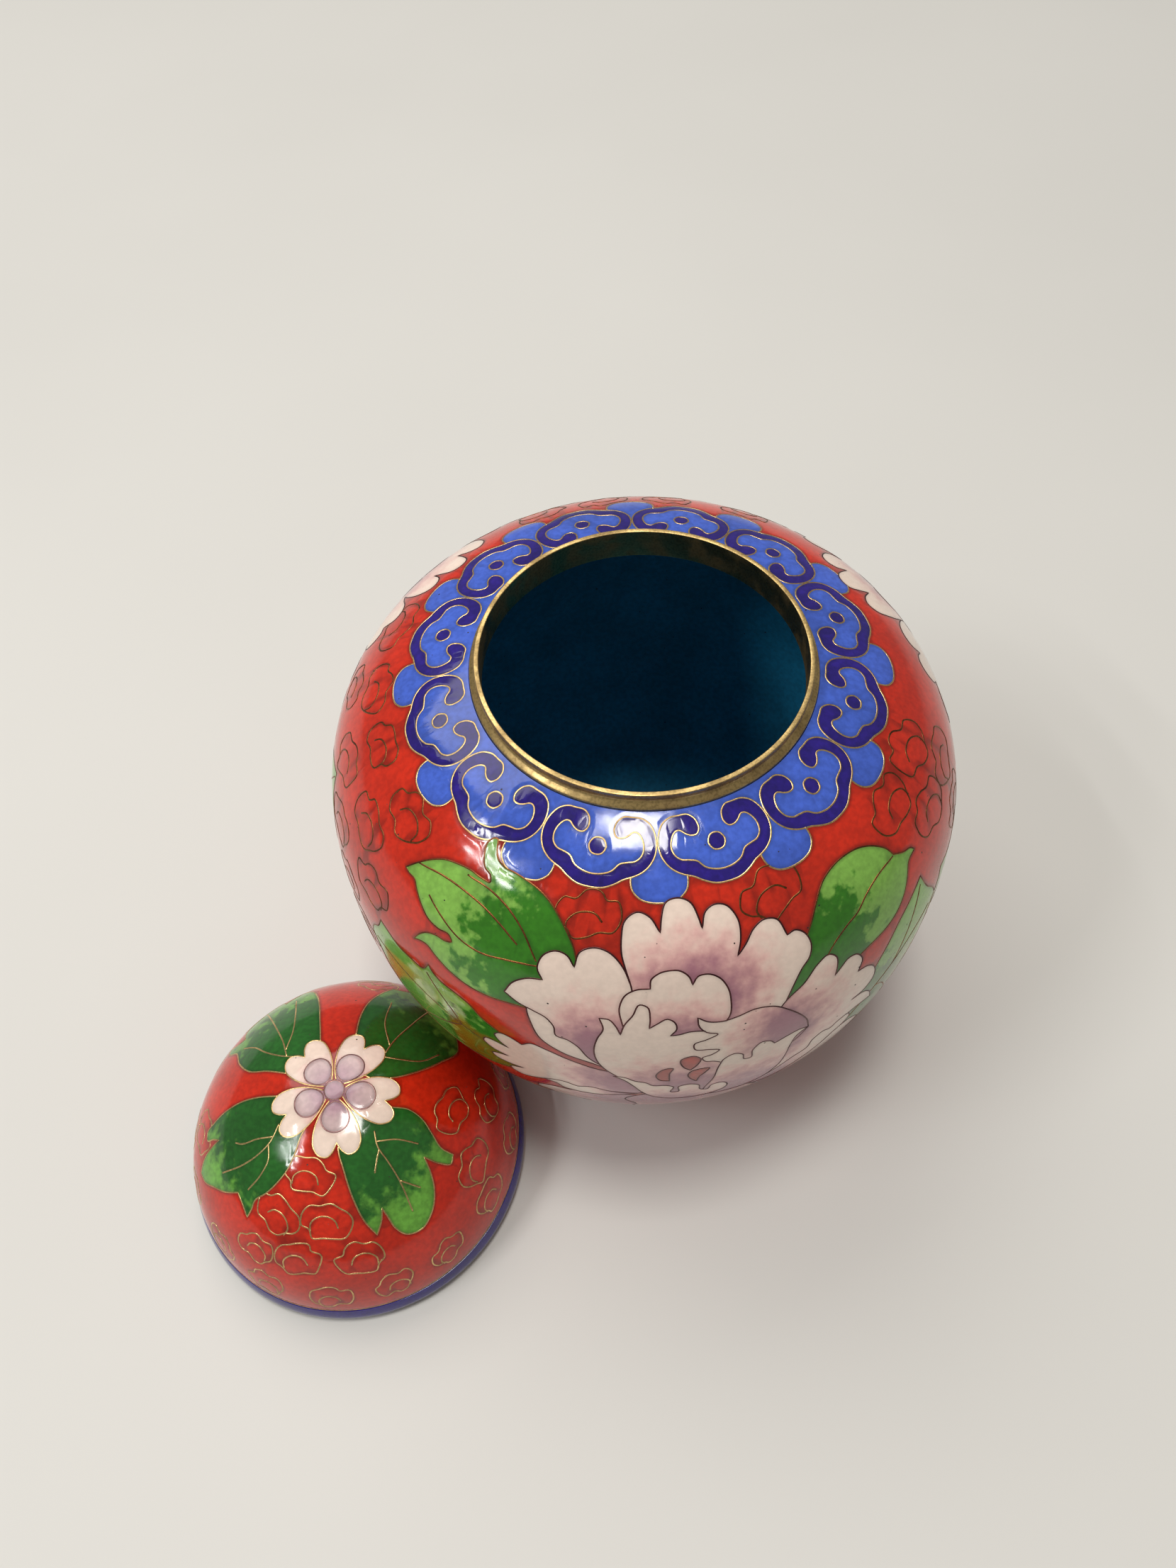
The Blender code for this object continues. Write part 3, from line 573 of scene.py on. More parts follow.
def around(points, degrees_round, place):
    """Points drawn towards the back, turned to a direction counted from the right, and moved."""
    turn = radians(degrees_round - 90)
    c, s = cos(turn), sin(turn)
    return [
        (place[0] + p[0] * c - p[1] * s, place[1] + p[0] * s + p[1] * c) + tuple(p[2:])
        for p in points
    ]


def lid_motifs():
    """Motifs and veins of the lid."""
    found, veins = [], []
    for leaf, (base, reach, points) in LID_LEAVES.items():
        found.append(motif(f"lid_leaf_{leaf}", points, "lid_leaf", "lid_leaf", base, reach))
    for vein in LID_VEINS:
        veins.append((len(found), Line(smooth(vein, False), False, "lid_leaf")))
    for turn in BLOSSOM_TURNS:
        points = around(LID_PETAL, turn, BLOSSOM_PLACE)
        found.append(motif("lid_blossom_petals", points, "petal", "lid_blossom", BLOSSOM_PLACE, 9))
    for turn in BLOSSOM_TURNS:
        points = around(LID_INNER_PETAL, turn, BLOSSOM_PLACE)
        found.append(motif("lid_blossom_heart", points, "heart", "lid_heart", BLOSSOM_PLACE, 8))
    ring = circle(BLOSSOM_PLACE, LID_CENTRE_RADIUS, LID_CENTRE_RADIUS)
    found.append(motif("lid_blossom_heart", ring, "heart", "lid_heart", BLOSSOM_PLACE, 4))
    return found, veins


# Cloud scrolls on the red ground: millimetres from the cloud's middle

CLOUD = (
    (-4.6, 0.2), (-4.4, -1.9), (-2.6, -2.4), (-1.9, -3.1), (0.2, -3.5), (2, -2.6), (3.9, -2.3),
    (4.9, -0.6), (4.4, 1.2), (3.2, 2.0), (2.2, 3.2), (0.2, 3.1), (-1.4, 2.3), (-3.6, 2.0),
)
CLOUD_HOOK = ((2.9, 2.3), (3.1, 0.9), (2.2, -0.3), (0.4, -0.9), (-1.2, -0.5), (-2.0, 0.6))
CLOUD_ROW = 8.0
CLOUD_SPACING = 12.0
CLOUD_OVERLAP = 0.12
CLOUD_NEAREST = 7.8
CLOUD_TURN_JITTER = 2
CLOUD_DOWN_JITTER = 0.8
CLOUD_SIZES = (0.9, 1.08)
CLOUD_TILT = 0.3
CLOUD_WOBBLE = 0.3
JAR_CLOUD_SEED = 5
JAR_CLOUD_START = 16.5
JAR_CLOUD_MARGIN = 4.5
LID_CLOUD_SEED = 8
LID_CLOUD_START = 15.0
LID_CLOUD_MARGIN = 4
JAR_CLOUD_PLACES = ((-104, 15.6), (-67, 15.2))
LID_CLOUD_PLACES = ((-104, 14.3), (-91, 22.0), (-117, 22.6), (-104, 30.0), (-80, 30))


def clouds(chart, motifs, seed, start, end, wires, places):
    """Scrolls at set places, then in staggered rows wherever the motifs leave room for them."""
    chance = np.random.default_rng(seed)
    spots = list(places)
    length = start
    row = 0
    while length < end:
        around_mm = 2 * pi * np.interp(length, chart.along, chart.radius) / MM
        count = max(3, round(around_mm / CLOUD_SPACING))
        for i in range(count):
            turn = 360 * (i + row % 2 / 2) / count + CHART_START
            aside = chance.uniform(-CLOUD_TURN_JITTER, CLOUD_TURN_JITTER)
            spots.append((turn + aside, length + chance.uniform(-CLOUD_DOWN_JITTER, CLOUD_DOWN_JITTER)))
        length += CLOUD_ROW
        row += 1
    lines, taken = [], []
    for turn, down in spots:
        size = chance.uniform(*CLOUD_SIZES)
        flip = chance.choice((-1, 1))
        tilt = chance.uniform(-CLOUD_TILT, CLOUD_TILT)
        wobble = chance.uniform(-CLOUD_WOBBLE, CLOUD_WOBBLE, (len(CLOUD), 2))
        both = []
        for points, jitter in ((CLOUD, wobble), (CLOUD_HOOK, wobble[-1])):
            p = (np.array(points) + jitter) * size
            p = p @ np.array(((cos(tilt), -sin(tilt)), (sin(tilt), cos(tilt))))
            p[:, 0] *= flip
            if chart.polar:
                a = radians(turn)
                out, aside = down + p[:, 1], p[:, 0]
                p = np.stack([out * cos(a) - aside * sin(a), out * sin(a) + aside * cos(a)], 1)
            else:
                p[:, 0] = turn + p[:, 0] / chart.width([(0, down)])[0]
                p[:, 1] += down
            both.append(p)
        loop = smooth(both[0])
        middle = loop.mean(0)
        scale = np.array([chart.width([middle])[0], 1.0])
        near = any(np.hypot(*((middle - other) * scale)) < CLOUD_NEAREST for other in taken)
        crowded = near or covered(loop, motifs).mean() > CLOUD_OVERLAP
        if crowded and len(taken) >= len(places):
            continue
        taken.append(middle)
        lines.append(Line(loop, True, wires))
        lines.append(Line(smooth(both[1], False), False, wires))
    return lines


# Meshes


def make_object(name, vertices, faces, material):
    """A new smooth-shaded mesh object in the scene."""
    mesh = bpy.data.meshes.new(name)
    mesh.from_pydata([tuple(v) for v in vertices], [], faces)
    mesh.materials.append(material)
    mesh.shade_smooth()
    piece = bpy.data.objects.new(name, mesh)
    bpy.context.scene.collection.objects.link(piece)
    return piece


def tree_of(spots):
    """A tree for finding the nearest of some places in millimetres."""
    tree = kdtree.KDTree(len(spots))
    for i, spot in enumerate(spots):
        tree.insert(spot / MM, i)
    tree.balance()
    return tree


def store(piece, label, values):
    """Keeps one number for each point of the mesh, for the materials to read."""
    attribute = piece.data.attributes.new(label, "FLOAT", "POINT")
    attribute.data.foreach_set("value", values.astype(np.float32))


def filler(chart, motifs, window):
    """Points between the outlines: an even grid, and rings just beside each outline."""
    lines = np.concatenate([m.outline for m in motifs])
    tree = tree_of(chart.place(lines)[0])
    rings = []
    for m in motifs:
        ahead = np.roll(m.outline, -1, 0) - np.roll(m.outline, 1, 0)
        wide = chart.width(m.outline)
        metric = np.stack([ahead[:, 0] * wide, ahead[:, 1]], 1)
        size = np.maximum(np.hypot(metric[:, 0], metric[:, 1]), 1e-9)
        aside = np.stack([-metric[:, 1] / size / wide, metric[:, 0] / size], 1)
        every = max(1, round(RING_STEP / OUTLINE_STEP))
        for side in (-1, 1):
            rings.append((m.outline + aside * side * RING_INSET)[::every])
    low, high = window.min(0), window.max(0)
    mean = float(np.mean(chart.width(window)))
    xs = np.arange(low[0], high[0], CELL_STEP / mean)
    ys = np.arange(low[1], high[1], CELL_STEP * ROW_SHARE)
    grid = [(x + (j % 2) * CELL_STEP / mean / 2, y) for j, y in enumerate(ys) for x in xs]
    candidates = np.concatenate(rings + [np.array(grid)])
    keep = inside(candidates, window)
    candidates = candidates[keep]
    is_ring = np.arange(len(keep))[keep] < sum(len(r) for r in rings)
    spots = chart.place(candidates)[0] / MM
    taken, kept = set(), []
    for point, spot, ring in zip(candidates, spots, is_ring):
        if tree.find(spot)[2] < RING_INSET * (RING_CLEARANCE if ring else GRID_CLEARANCE):
            continue
        cell = tuple(np.floor(spot / (RING_CELL if ring else GRID_CELL)).astype(int)) + (bool(ring),)
        if cell not in taken:
            taken.add(cell)
            kept.append(point)
    return np.array(kept)


def arrange(chart, motifs):
    """Triangles of the chart cut along every outline, with the number of each one's top motif."""
    coords, faces = [], []
    for m in motifs:
        x, y = m.outline.T
        turns_left = (x * np.roll(y, -1) - y * np.roll(x, -1)).sum() > 0
        faces.append(list(range(len(coords), len(coords) + len(x))))
        coords += [tuple(p) for p in (m.outline if turns_left else m.outline[::-1])]
    coords += [tuple(p) for p in filler(chart, motifs, motifs[0].outline)]
    vectors = [Vector(p) for p in coords]
    out = geometry.delaunay_2d_cdt(vectors, [], faces, 1, 1e-6, True)
    points = np.array([tuple(p) for p in out[0]])
    triangles, owners = [], []
    for face, sources in zip(out[2], out[5]):
        if 0 in sources:
            triangles.append(face)
            owners.append(max(sources))
    return points, triangles, np.array(owners)


def visible_runs(path, closed, motifs, window=None):
    """The stretches of a line in the window that no motif covers; is each a whole loop?"""
    hidden = covered(path, motifs)
    if window is not None:
        hidden |= ~inside(path, window)
    if not hidden.any():
        return [(path, closed)]
    if hidden.all():
        return []
    if closed:
        first = int(np.argmax(hidden))
        path, hidden = np.roll(path, -first, 0), np.roll(hidden, -first)
        path, hidden = np.append(path, path[:1], 0), np.append(hidden, True)
    runs, run = [], []
    for i, point in enumerate(path):
        if not hidden[i]:
            if not run and i:
                run.append((path[i - 1] + point) / 2)
            run.append(point)
        elif run:
            runs.append(run + [(path[i - 1] + point) / 2])
            run = []
    if run:
        runs.append(run)
    return [(np.array(r), False) for r in runs if len(r) > 3]


def make_wires(chart, name, lines, material):
    """Wires with a bevelled crown along chart lines, set into the enamel, as one object."""
    half, low = WIRE_WIDTH / 2, -WIRE_DEPTH
    crown = half * WIRE_CROWN
    section = (
        (-half, low), (-half, WIRE_SHOULDER), (-crown, WIRE_RISE), (crown, WIRE_RISE),
        (half, WIRE_SHOULDER), (half, low),
    )
    count = len(section)
    vertices, faces, spots = [], [], []
    for path, closed in lines:
        places, normals = chart.place(path)
        if closed:
            ahead = np.roll(places, -1, 0) - np.roll(places, 1, 0)
        else:
            ahead = np.gradient(places, axis=0)
        aside = np.cross(normals, ahead)
        aside /= np.maximum(np.linalg.norm(aside, axis=1), 1e-12)[:, None]
        start = len(vertices)
        for place, normal, side in zip(places, normals, aside):
            for across, rise in section:
                vertices.append(place + side * across * MM + normal * rise * MM)
        size = len(path)
        for i in range(size if closed else size - 1):
            a, b = start + i * count, start + (i + 1) % size * count
            for k in range(count):
                n = (k + 1) % count
                faces.append((a + k, b + k, b + n, a + n))
        if not closed:
            faces.append(tuple(start + k for k in range(count)))
            end = start + (size - 1) * count
            faces.append(tuple(end + k for k in reversed(range(count))))
        spots.append(places)
    piece = make_object(name, vertices, faces, material)
    return piece, np.concatenate(spots)


def make_cells(chart, name, points, triangles, sources, motifs, tree, material):
    """One piece of enamel from its triangles: a thin closed solid with the chart's normals."""
    triangles = np.array(triangles)
    used, index = np.unique(triangles, return_inverse=True)
    index = index.reshape(triangles.shape)
    flat = points[used]
    top, normals = chart.place(flat)
    bottom = chart.place(flat, -ENAMEL / MM)[0]
    a, b, c = (top[index[:, i]] for i in range(3))
    flips = (np.cross(b - a, c - a) * normals[index[:, 0]]).sum(1) < 0
    index[flips] = index[flips][:, ::-1]
    count = len(used)
    faces = [tuple(t) for t in index] + [tuple(t[::-1] + count) for t in index]
    edges = set()
    for t in index:
        edges.update(((t[0], t[1]), (t[1], t[2]), (t[2], t[0])))
    for a, b in sorted(edges):
        if (b, a) not in edges:
            faces.append((b, a, a + count, b + count))
    piece = make_object(name, np.concatenate([top, bottom]), faces, material)
    shade = np.zeros(count)
    for number in np.unique(sources):
        base, reach = motifs[number].base, motifs[number].reach
        if base is not None:
            mine = np.unique(index[sources == number])
            away = (flat[mine] - base) * np.stack([chart.width(flat[mine]), np.ones(len(mine))], 1)
            shade[mine] = 1 - np.hypot(away[:, 0], away[:, 1]) / reach
    wire = np.array([tree.find(spot / MM)[2] for spot in top])
    store(piece, "shade", np.concatenate([shade, shade]))
    store(piece, "wire_distance", np.concatenate([wire, wire]))
    loops = np.zeros(len(piece.data.loops), int)
    piece.data.loops.foreach_get("vertex_index", loops)
    both = np.concatenate([normals, -normals])
    custom = both[loops]
    custom[6 * len(index):] = 0
    piece.data.normals_split_custom_set([tuple(n) for n in custom])
    return piece


def turned(name, axis, outline, material, steps=160, sharp=35):
    """A closed profile of (radius, height) points in metres, turned round a vertical axis."""
    vertices, faces = [], []
    count = len(outline)
    area = sum(
        outline[i - 1][0] * outline[i][1] - outline[i][0] * outline[i - 1][1] for i in range(count)
    )
    ordered = outline if area > 0 else outline[::-1]
    for step in range(steps):
        turn = 2 * pi * step / steps
        vertices += [(axis.x + r * cos(turn), axis.y + r * sin(turn), z) for r, z in ordered]
    for step in range(steps):
        here, there = step * count, (step + 1) % steps * count
        for k in range(count):
            n = (k + 1) % count
            faces.append((here + k, there + k, there + n, here + n))
    piece = make_object(name, vertices, faces, material)
    shape = bmesh.new()
    shape.from_mesh(piece.data)
    bmesh.ops.remove_doubles(shape, verts=shape.verts, dist=1e-7)
    shape.to_mesh(piece.data)
    shape.free()
    piece.data.shade_smooth()
    piece.data.set_sharp_from_angle(angle=radians(sharp))
    store(piece, "shade", np.zeros(len(piece.data.vertices)))
    store(piece, "wire_distance", np.full(len(piece.data.vertices), FAR_FROM_WIRES))
    return piece


# Metal and plain enamel pieces, in metres from each axis


def add_turned(name, axis, outline, material, body, slot, node):
    """Makes a turned piece and lets it stand for a CAD node."""
    add(turned(name, axis, outline, material), body, slot, node)


def rounded(points, radius, turns=4):
    """A closed profile with its corners rounded."""
    out = []
    for i, here in enumerate(points):
        here, before, after = (Vector(points[k % len(points)]) for k in (i, i - 1, i + 1))
        start, end = before - here, after - here
        trim = min(radius, start.length / 2.2, end.length / 2.2)
        start, end = here + start.normalized() * trim, here + end.normalized() * trim
        for k in range(turns + 1):
            share = k / turns
            out.append(tuple(start.lerp(here, share).lerp(here.lerp(end, share), share)))
    return out


def shell(chart, inset, thickness, mouth, floor):
    """A closed profile of one layer of a vessel's wall, from its open end to the other."""
    walls = []
    for depth, level in ((inset, 0.0), (inset + thickness, thickness)):
        wall = chart.wall(depth, 0, chart.along[-1], 140)
        if chart.polar:
            wall[0] = (0.0, wall[0][1])
            wall.append((wall[-1][0], floor))
        else:
            wall.insert(0, (mouth, wall[0][1]))
            wall = [p for p in wall if p[1] > floor + level + 0.0004]
            edge = wall[-1][0]
            wall += [(edge - 0.0006, floor + level + 0.0001), (edge - 0.0016, floor + level)]
            wall.append((0.0, floor + level))
        walls.append(wall)
    return walls[0] + walls[1][::-1]


def make_jar_turned():
    """The jar's turned pieces: neck ring, foot ring, copper, lining and the disc under it."""
    outer = (NECK_HIGH.x - NECK_LOW.x) / 2
    inner = LIP_RADIUS - LIP_WALL
    top, bottom, shoulder = LIP_HEIGHT, NECK_LOW.z, JAR.height[0]
    seat = shoulder - ENAMEL
    neck = rounded([
        (inner, bottom), (LIP_RADIUS, bottom), (LIP_RADIUS, seat), (outer, seat),
        (outer, shoulder + 0.35 * MM), (outer - 0.25 * MM, shoulder + 0.55 * MM),
        (LIP_RADIUS + 0.1 * MM, shoulder + 0.95 * MM), (LIP_RADIUS - 0.1 * MM, shoulder + 1.2 * MM),
        (LIP_RADIUS - 0.1 * MM, shoulder + 1.6 * MM), (LIP_RADIUS, shoulder + 1.75 * MM),
        (LIP_RADIUS, top), (inner, top),
    ], 0.16 * MM)
    add_turned("neck_ring_turned", JAR_AXIS, neck, brass, "jar", "neck_brass", "neck_ring")

    outer = (FOOT_HIGH.x - FOOT_LOW.x) / 2
    inner = (BASE_HIGH.x - BASE_LOW.x) / 2 + GAP
    height = FOOT_HIGH.z
    foot = rounded([
        (outer, height), (outer, height * 0.62), (outer - 0.3 * MM, height * 0.52),
        (outer - 0.3 * MM, 0), (inner + 0.2 * MM, 0), (inner, height * 0.3), (inner, height),
    ], 0.3 * MM)
    add_turned("foot_ring_turned", JAR_AXIS, foot, brass, "jar", "foot_brass", "foot_ring")

    edge = (BASE_HIGH.x - BASE_LOW.x) / 2
    low, high = BASE_LOW.z, BASE_HIGH.z
    disc = [(0, high), (edge, high), (edge, low)]
    disc += [(edge * share, low + (high - low) * 0.5 * (1 - share**4)) for share in (0.9, 0.75, 0.5)]
    disc.append((0, low + (high - low) * 0.5))
    slot, node = "counter_enamel", "base_counter_enamel"
    add_turned("base_enamel_disc", JAR_AXIS, disc, counter, "jar", slot, node)

    mouth = LIP_RADIUS + GAP
    floor = FOOT_HIGH.z + GAP
    inset = ENAMEL + GAP
    copper_wall = shell(JAR, inset, COPPER, mouth, floor)
    add_turned("copper_vessel", JAR_AXIS, copper_wall, copper, "jar", "copper", "jar_copper_body")
    inset += COPPER + GAP
    lining = shell(JAR, inset, LINING, mouth, floor + COPPER + GAP)
    add_turned("inner_enamel", JAR_AXIS, lining, counter, "jar", slot, "jar_lining_enamel")


def make_lid_turned():
    """The lid's turned pieces: rim ring, border, copper and lining."""
    outer = (RIM_HIGH.x - RIM_LOW.x) / 2
    inner = LID_RIM_BORE
    rim = rounded([(outer, RIM_HIGH.z), (outer, 0), (inner, 0), (inner, RIM_HIGH.z)], 0.35 * MM)
    add_turned("lid_rim_turned", LID_AXIS, rim, brass, "lid", "rim_brass", "lid_rim_ring")

    edge = (BORDER_HIGH.x - BORDER_LOW.x) / 2
    low, high = BORDER_LOW.z, BORDER_HIGH.z
    border = [(LID_RADIUS - ENAMEL, high), (LID_RADIUS - ENAMEL, low), (edge - 0.1 * MM, low)]
    border += [
        (edge + (LID_RADIUS - edge) * share**1.6, low + (high - low) * (0.12 + 0.88 * share))
        for share in (0, 0.2, 0.4, 0.6, 0.8, 1)
    ]
    slot, node = "dark_blue_enamel", "lid_border_enamel"
    add_turned("lid_border_band", LID_AXIS, border, enamels["dark_blue"], "lid", slot, node)

    floor = BORDER_LOW.z
    inset = ENAMEL + GAP
    dome = shell(LID, inset, COPPER, 0, floor)
    add_turned("lid_copper_dome", LID_AXIS, dome, copper, "lid", "copper", "lid_copper_shell")
    inset += COPPER + GAP
    lining = shell(LID, inset, LINING, 0, floor)
    slot, node = "counter_enamel", "lid_lining_enamel"
    add_turned("lid_inner_enamel", LID_AXIS, lining, counter, "lid", slot, node)


# Materials

PIT_RARITY = 0.62


class Paint:
    """A material's node tree, with short calls for the nodes used here."""

    def __init__(self, name, metallic=0.0, coat=0.0):
        self.material = bpy.data.materials.new(name)
        self.material.use_nodes = True
        self.nodes = self.material.node_tree.nodes
        self.links = self.material.node_tree.links
        self.shader = self.nodes["Principled BSDF"]
        self.shader.inputs["Metallic"].default_value = metallic
        self.shader.inputs["Coat Weight"].default_value = coat
        self.shader.inputs["Coat Roughness"].default_value = 0.06
        self.place = self.nodes.new("ShaderNodeTexCoord").outputs["Object"]

    def feed(self, socket, value):
        """Links a socket to another one, or sets its value."""
        if isinstance(value, bpy.types.NodeSocket):
            self.links.new(value, socket)
        elif socket.type == "RGBA" and len(value) == 3:
            socket.default_value = (*value, 1)
        else:
            socket.default_value = value

    def finish(self, **values):
        """Feeds the shader's own sockets, named with _ for a space."""
        for name, value in values.items():
            self.feed(self.shader.inputs[name.replace("_", " ")], value)
        return self.material

    def noise(self, scale, detail=3.0, place=None):
        """Soft noise from 0 to 1, with a scale in lumps per metre."""
        node = self.nodes.new("ShaderNodeTexNoise")
        node.inputs["Scale"].default_value = scale
        node.inputs["Detail"].default_value = detail
        self.links.new(place or self.place, node.inputs["Vector"])
        return node.outputs["Fac"]

    def math(self, operation, first, second=0.0):
        """One step of arithmetic."""
        node = self.nodes.new("ShaderNodeMath")
        node.operation = operation
        self.feed(node.inputs[0], first)
        self.feed(node.inputs[1], second)
        return node.outputs[0]

    def ramp(self, value, start, end, low=0.0, high=1.0):
        """A smooth step from low to high as the value goes from start to end."""
        node = self.nodes.new("ShaderNodeMapRange")
        node.interpolation_type = "SMOOTHSTEP"
        for name, item in zip(
            ("Value", "From Min", "From Max", "To Min", "To Max"), (value, start, end, low, high)
        ):
            self.feed(node.inputs[name], item)
        return node.outputs["Result"]

    def mix(self, share, first, second, blend="MIX"):
        """Two colours mixed."""
        node = self.nodes.new("ShaderNodeMix")
        node.data_type = "RGBA"
        node.blend_type = blend
        for place, value in ((0, share), (6, first), (7, second)):
            self.feed(node.inputs[place], value)
        return node.outputs[2]

    def attribute(self, name):
        """A number stored on the mesh's points."""
        node = self.nodes.new("ShaderNodeAttribute")
        node.attribute_name = name
        return node.outputs["Fac"]

    def pits(self, scale, most, softness=0.02):
        """1 on the surface and 0 in sparse round pits, up to a share of the spacing wide."""
        node = self.nodes.new("ShaderNodeTexVoronoi")
        node.inputs["Scale"].default_value = scale
        self.links.new(self.place, node.inputs["Vector"])
        split = self.nodes.new("ShaderNodeSeparateColor")
        self.links.new(node.outputs["Color"], split.inputs[0])
        rarity = self.math("SUBTRACT", split.outputs[0], PIT_RARITY)
        size = self.math("MULTIPLY", rarity, most / (1 - PIT_RARITY))
        return self.ramp(self.math("SUBTRACT", node.outputs["Distance"], size), 0, softness)

    def bump(self, height, distance, normal=None):
        """A bump of a height from 0 to 1 times a distance in metres."""
        node = self.nodes.new("ShaderNodeBump")
        node.inputs["Distance"].default_value = distance
        self.links.new(height, node.inputs["Height"])
        if normal:
            self.links.new(normal, node.inputs["Normal"])
        return node.outputs["Normal"]


def enamel(
    name, light, deep, turn=(0.35, 0.6), blotch=0.5, grain=0.1, halo=0.72, gloss=0.09, blush=None
):
    """Polished enamel that turns from light at its tip to deep at its base in blotchy steps."""
    paint = Paint(name)
    wire = paint.attribute("wire_distance")
    patch = paint.math("SUBTRACT", paint.noise(380, 4), 0.5)
    share = paint.math("ADD", paint.attribute("shade"), paint.math("MULTIPLY", patch, blotch))
    middle = sum(turn) / 2
    colour = light
    if blush:
        colour = paint.mix(paint.ramp(share, 2 * turn[0] - middle, middle), light, blush)
    colour = paint.mix(paint.ramp(share, *turn), colour, deep)
    mottle = paint.ramp(paint.noise(1100, 5), 0.3, 0.7, 1 - grain, 1 + grain / 2)
    colour = paint.mix(1.0, colour, mottle, "MULTIPLY")
    drift = paint.ramp(paint.noise(90, 2), 0.3, 0.7, 1 - grain, 1 + grain / 2)
    colour = paint.mix(1.0, colour, drift, "MULTIPLY")
    colour = paint.mix(1.0, colour, paint.ramp(wire, 0.1, 0.8, halo, 1.0), "MULTIPLY")
    pits = paint.pits(560, 0.08)
    colour = paint.mix(pits, (0.02, 0.012, 0.01), colour)
    worn = paint.ramp(paint.noise(260, 6), 0.45, 0.8, gloss, gloss + 0.16)
    rough = paint.math("ADD", worn, paint.ramp(pits, 1, 0, 0, 0.4))
    normal = paint.bump(paint.noise(150, 2), 0.00006)
    normal = paint.bump(paint.ramp(wire, 0.1, 0.9), 0.00002, normal)
    normal = paint.bump(pits, 0.00005, normal)
    return paint.finish(Base_Color=colour, Roughness=rough, Normal=normal)


def metal(name, bright, dull, grain=0.0, roughness=0.22):
    """Brass or copper with tarnish, fine scratches, and turning marks if it has a grain."""
    paint = Paint(name, metallic=1.0)
    stain = paint.ramp(paint.noise(240, 6), 0.35, 0.7)
    colour = paint.mix(stain, bright, dull)
    speck = paint.ramp(paint.noise(2600, 4), 0.3, 0.6, 0.7, 1.05)
    colour = paint.mix(1.0, colour, speck, "MULTIPLY")
    rough = paint.ramp(stain, 0, 1, roughness, roughness + 0.2)
    normal = paint.bump(paint.noise(700, 4), 0.00002)
    if grain:
        scale = paint.nodes.new("ShaderNodeMapping")
        scale.inputs["Scale"].default_value = (60, 60, 9000)
        paint.links.new(paint.place, scale.inputs["Vector"])
        normal = paint.bump(paint.noise(1, 4, scale.outputs[0]), grain, normal)
    return paint.finish(Base_Color=colour, Roughness=rough, Normal=normal)


def floor_paint():
    """The pale studio floor."""
    paint = Paint("studio_floor")
    colour = paint.mix(paint.noise(6, 3), (0.62, 0.61, 0.58), (0.68, 0.67, 0.64))
    return paint.finish(Base_Color=colour, Roughness=0.55)


counter = enamel("counter_enamel", (0.014, 0.20, 0.36), (0.006, 0.1, 0.22), grain=0.2, gloss=0.42)
brass = metal("turned_brass", (0.60, 0.43, 0.18), (0.36, 0.25, 0.11), 0.00001, 0.3)
copper = metal("raised_copper", (0.72, 0.33, 0.18), (0.30, 0.13, 0.07), roughness=0.35)
enamels = {
    "red": enamel("red_enamel", (0.56, 0.022, 0.006), (0.5, 0.02, 0.006), grain=0.16, halo=0.5),
    "light_blue": enamel("light_blue_enamel", (0.055, 0.12, 0.56), (0.045, 0.09, 0.48), grain=0.16),
    "dark_blue": enamel("dark_blue_enamel", (0.022, 0.010, 0.20), (0.014, 0.008, 0.14), grain=0.2),
    "petal": enamel(
        "petal_enamel", (0.83, 0.67, 0.57), (0.36, 0.15, 0.20), (0.28, 0.74), 0.6, 0.05, 0.85,
        blush=(0.78, 0.44, 0.40),
    ),
    "stamen": enamel("stamen_enamel", (0.46, 0.05, 0.03), (0.4, 0.04, 0.02), halo=0.6),
    "heart": enamel("heart_enamel", (0.60, 0.44, 0.44), (0.46, 0.28, 0.34), (0.2, 0.75)),
    "leaf": enamel(
        "leaf_enamel", (0.22, 0.46, 0.075), (0.035, 0.19, 0.010), (0.40, 0.54), 0.9, 0.14, 0.7
    ),
    # The lid's leaves: the leaf enamel made darker, painted shade of the jar standing over the lid.
    "lid_leaf": enamel(
        "lid_leaf_enamel", (0.13, 0.36, 0.045), (0.016, 0.11, 0.014), (0.16, 0.40), 0.9, 0.2, 0.7
    ),
}
SLOTS = {
    "red": "red_enamel", "light_blue": "light_blue_enamel", "dark_blue": "dark_blue_enamel",
    "petal": "petal_enamel", "stamen": "red_enamel", "heart": "petal_enamel",
    "leaf": "leaf_enamel", "lid_leaf": "leaf_enamel",
}
gilt_wire = metal("gilt_wire", (0.76, 0.54, 0.24), (0.46, 0.30, 0.13), roughness=0.28)
# A darker, brown copy of the gilt wire: painted shade, for the wires of the jar's clouds and leaves.
brown_wire_painted_shade = metal("brown_wire_painted_shade", (0.26, 0.10, 0.035), (0.12, 0.045, 0.02), roughness=0.32)
dark_wire = metal("dark_wire", (0.12, 0.045, 0.045), (0.06, 0.02, 0.022), roughness=0.35)
mauve_wire = metal("mauve_wire", (0.30, 0.17, 0.16), (0.18, 0.09, 0.09), roughness=0.35)
WIRES = {
    "collar": gilt_wire, "jar_cloud": brown_wire_painted_shade, "leaf": brown_wire_painted_shade, "peony_front": dark_wire,
    "peony_right_back": dark_wire, "peony_left_back": dark_wire, "lid_cloud": gilt_wire,
    "lid_leaf": gilt_wire, "lid_blossom": gilt_wire, "lid_heart": mauve_wire,
    "lid_edge": gilt_wire,
}


# Assembly


def add(piece, body, slot, *nodes):
    """Attaches a piece to its body and hides the CAD nodes that it stands for; the slot is not used."""
    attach(piece, body)
    if nodes:
        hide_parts(*nodes)


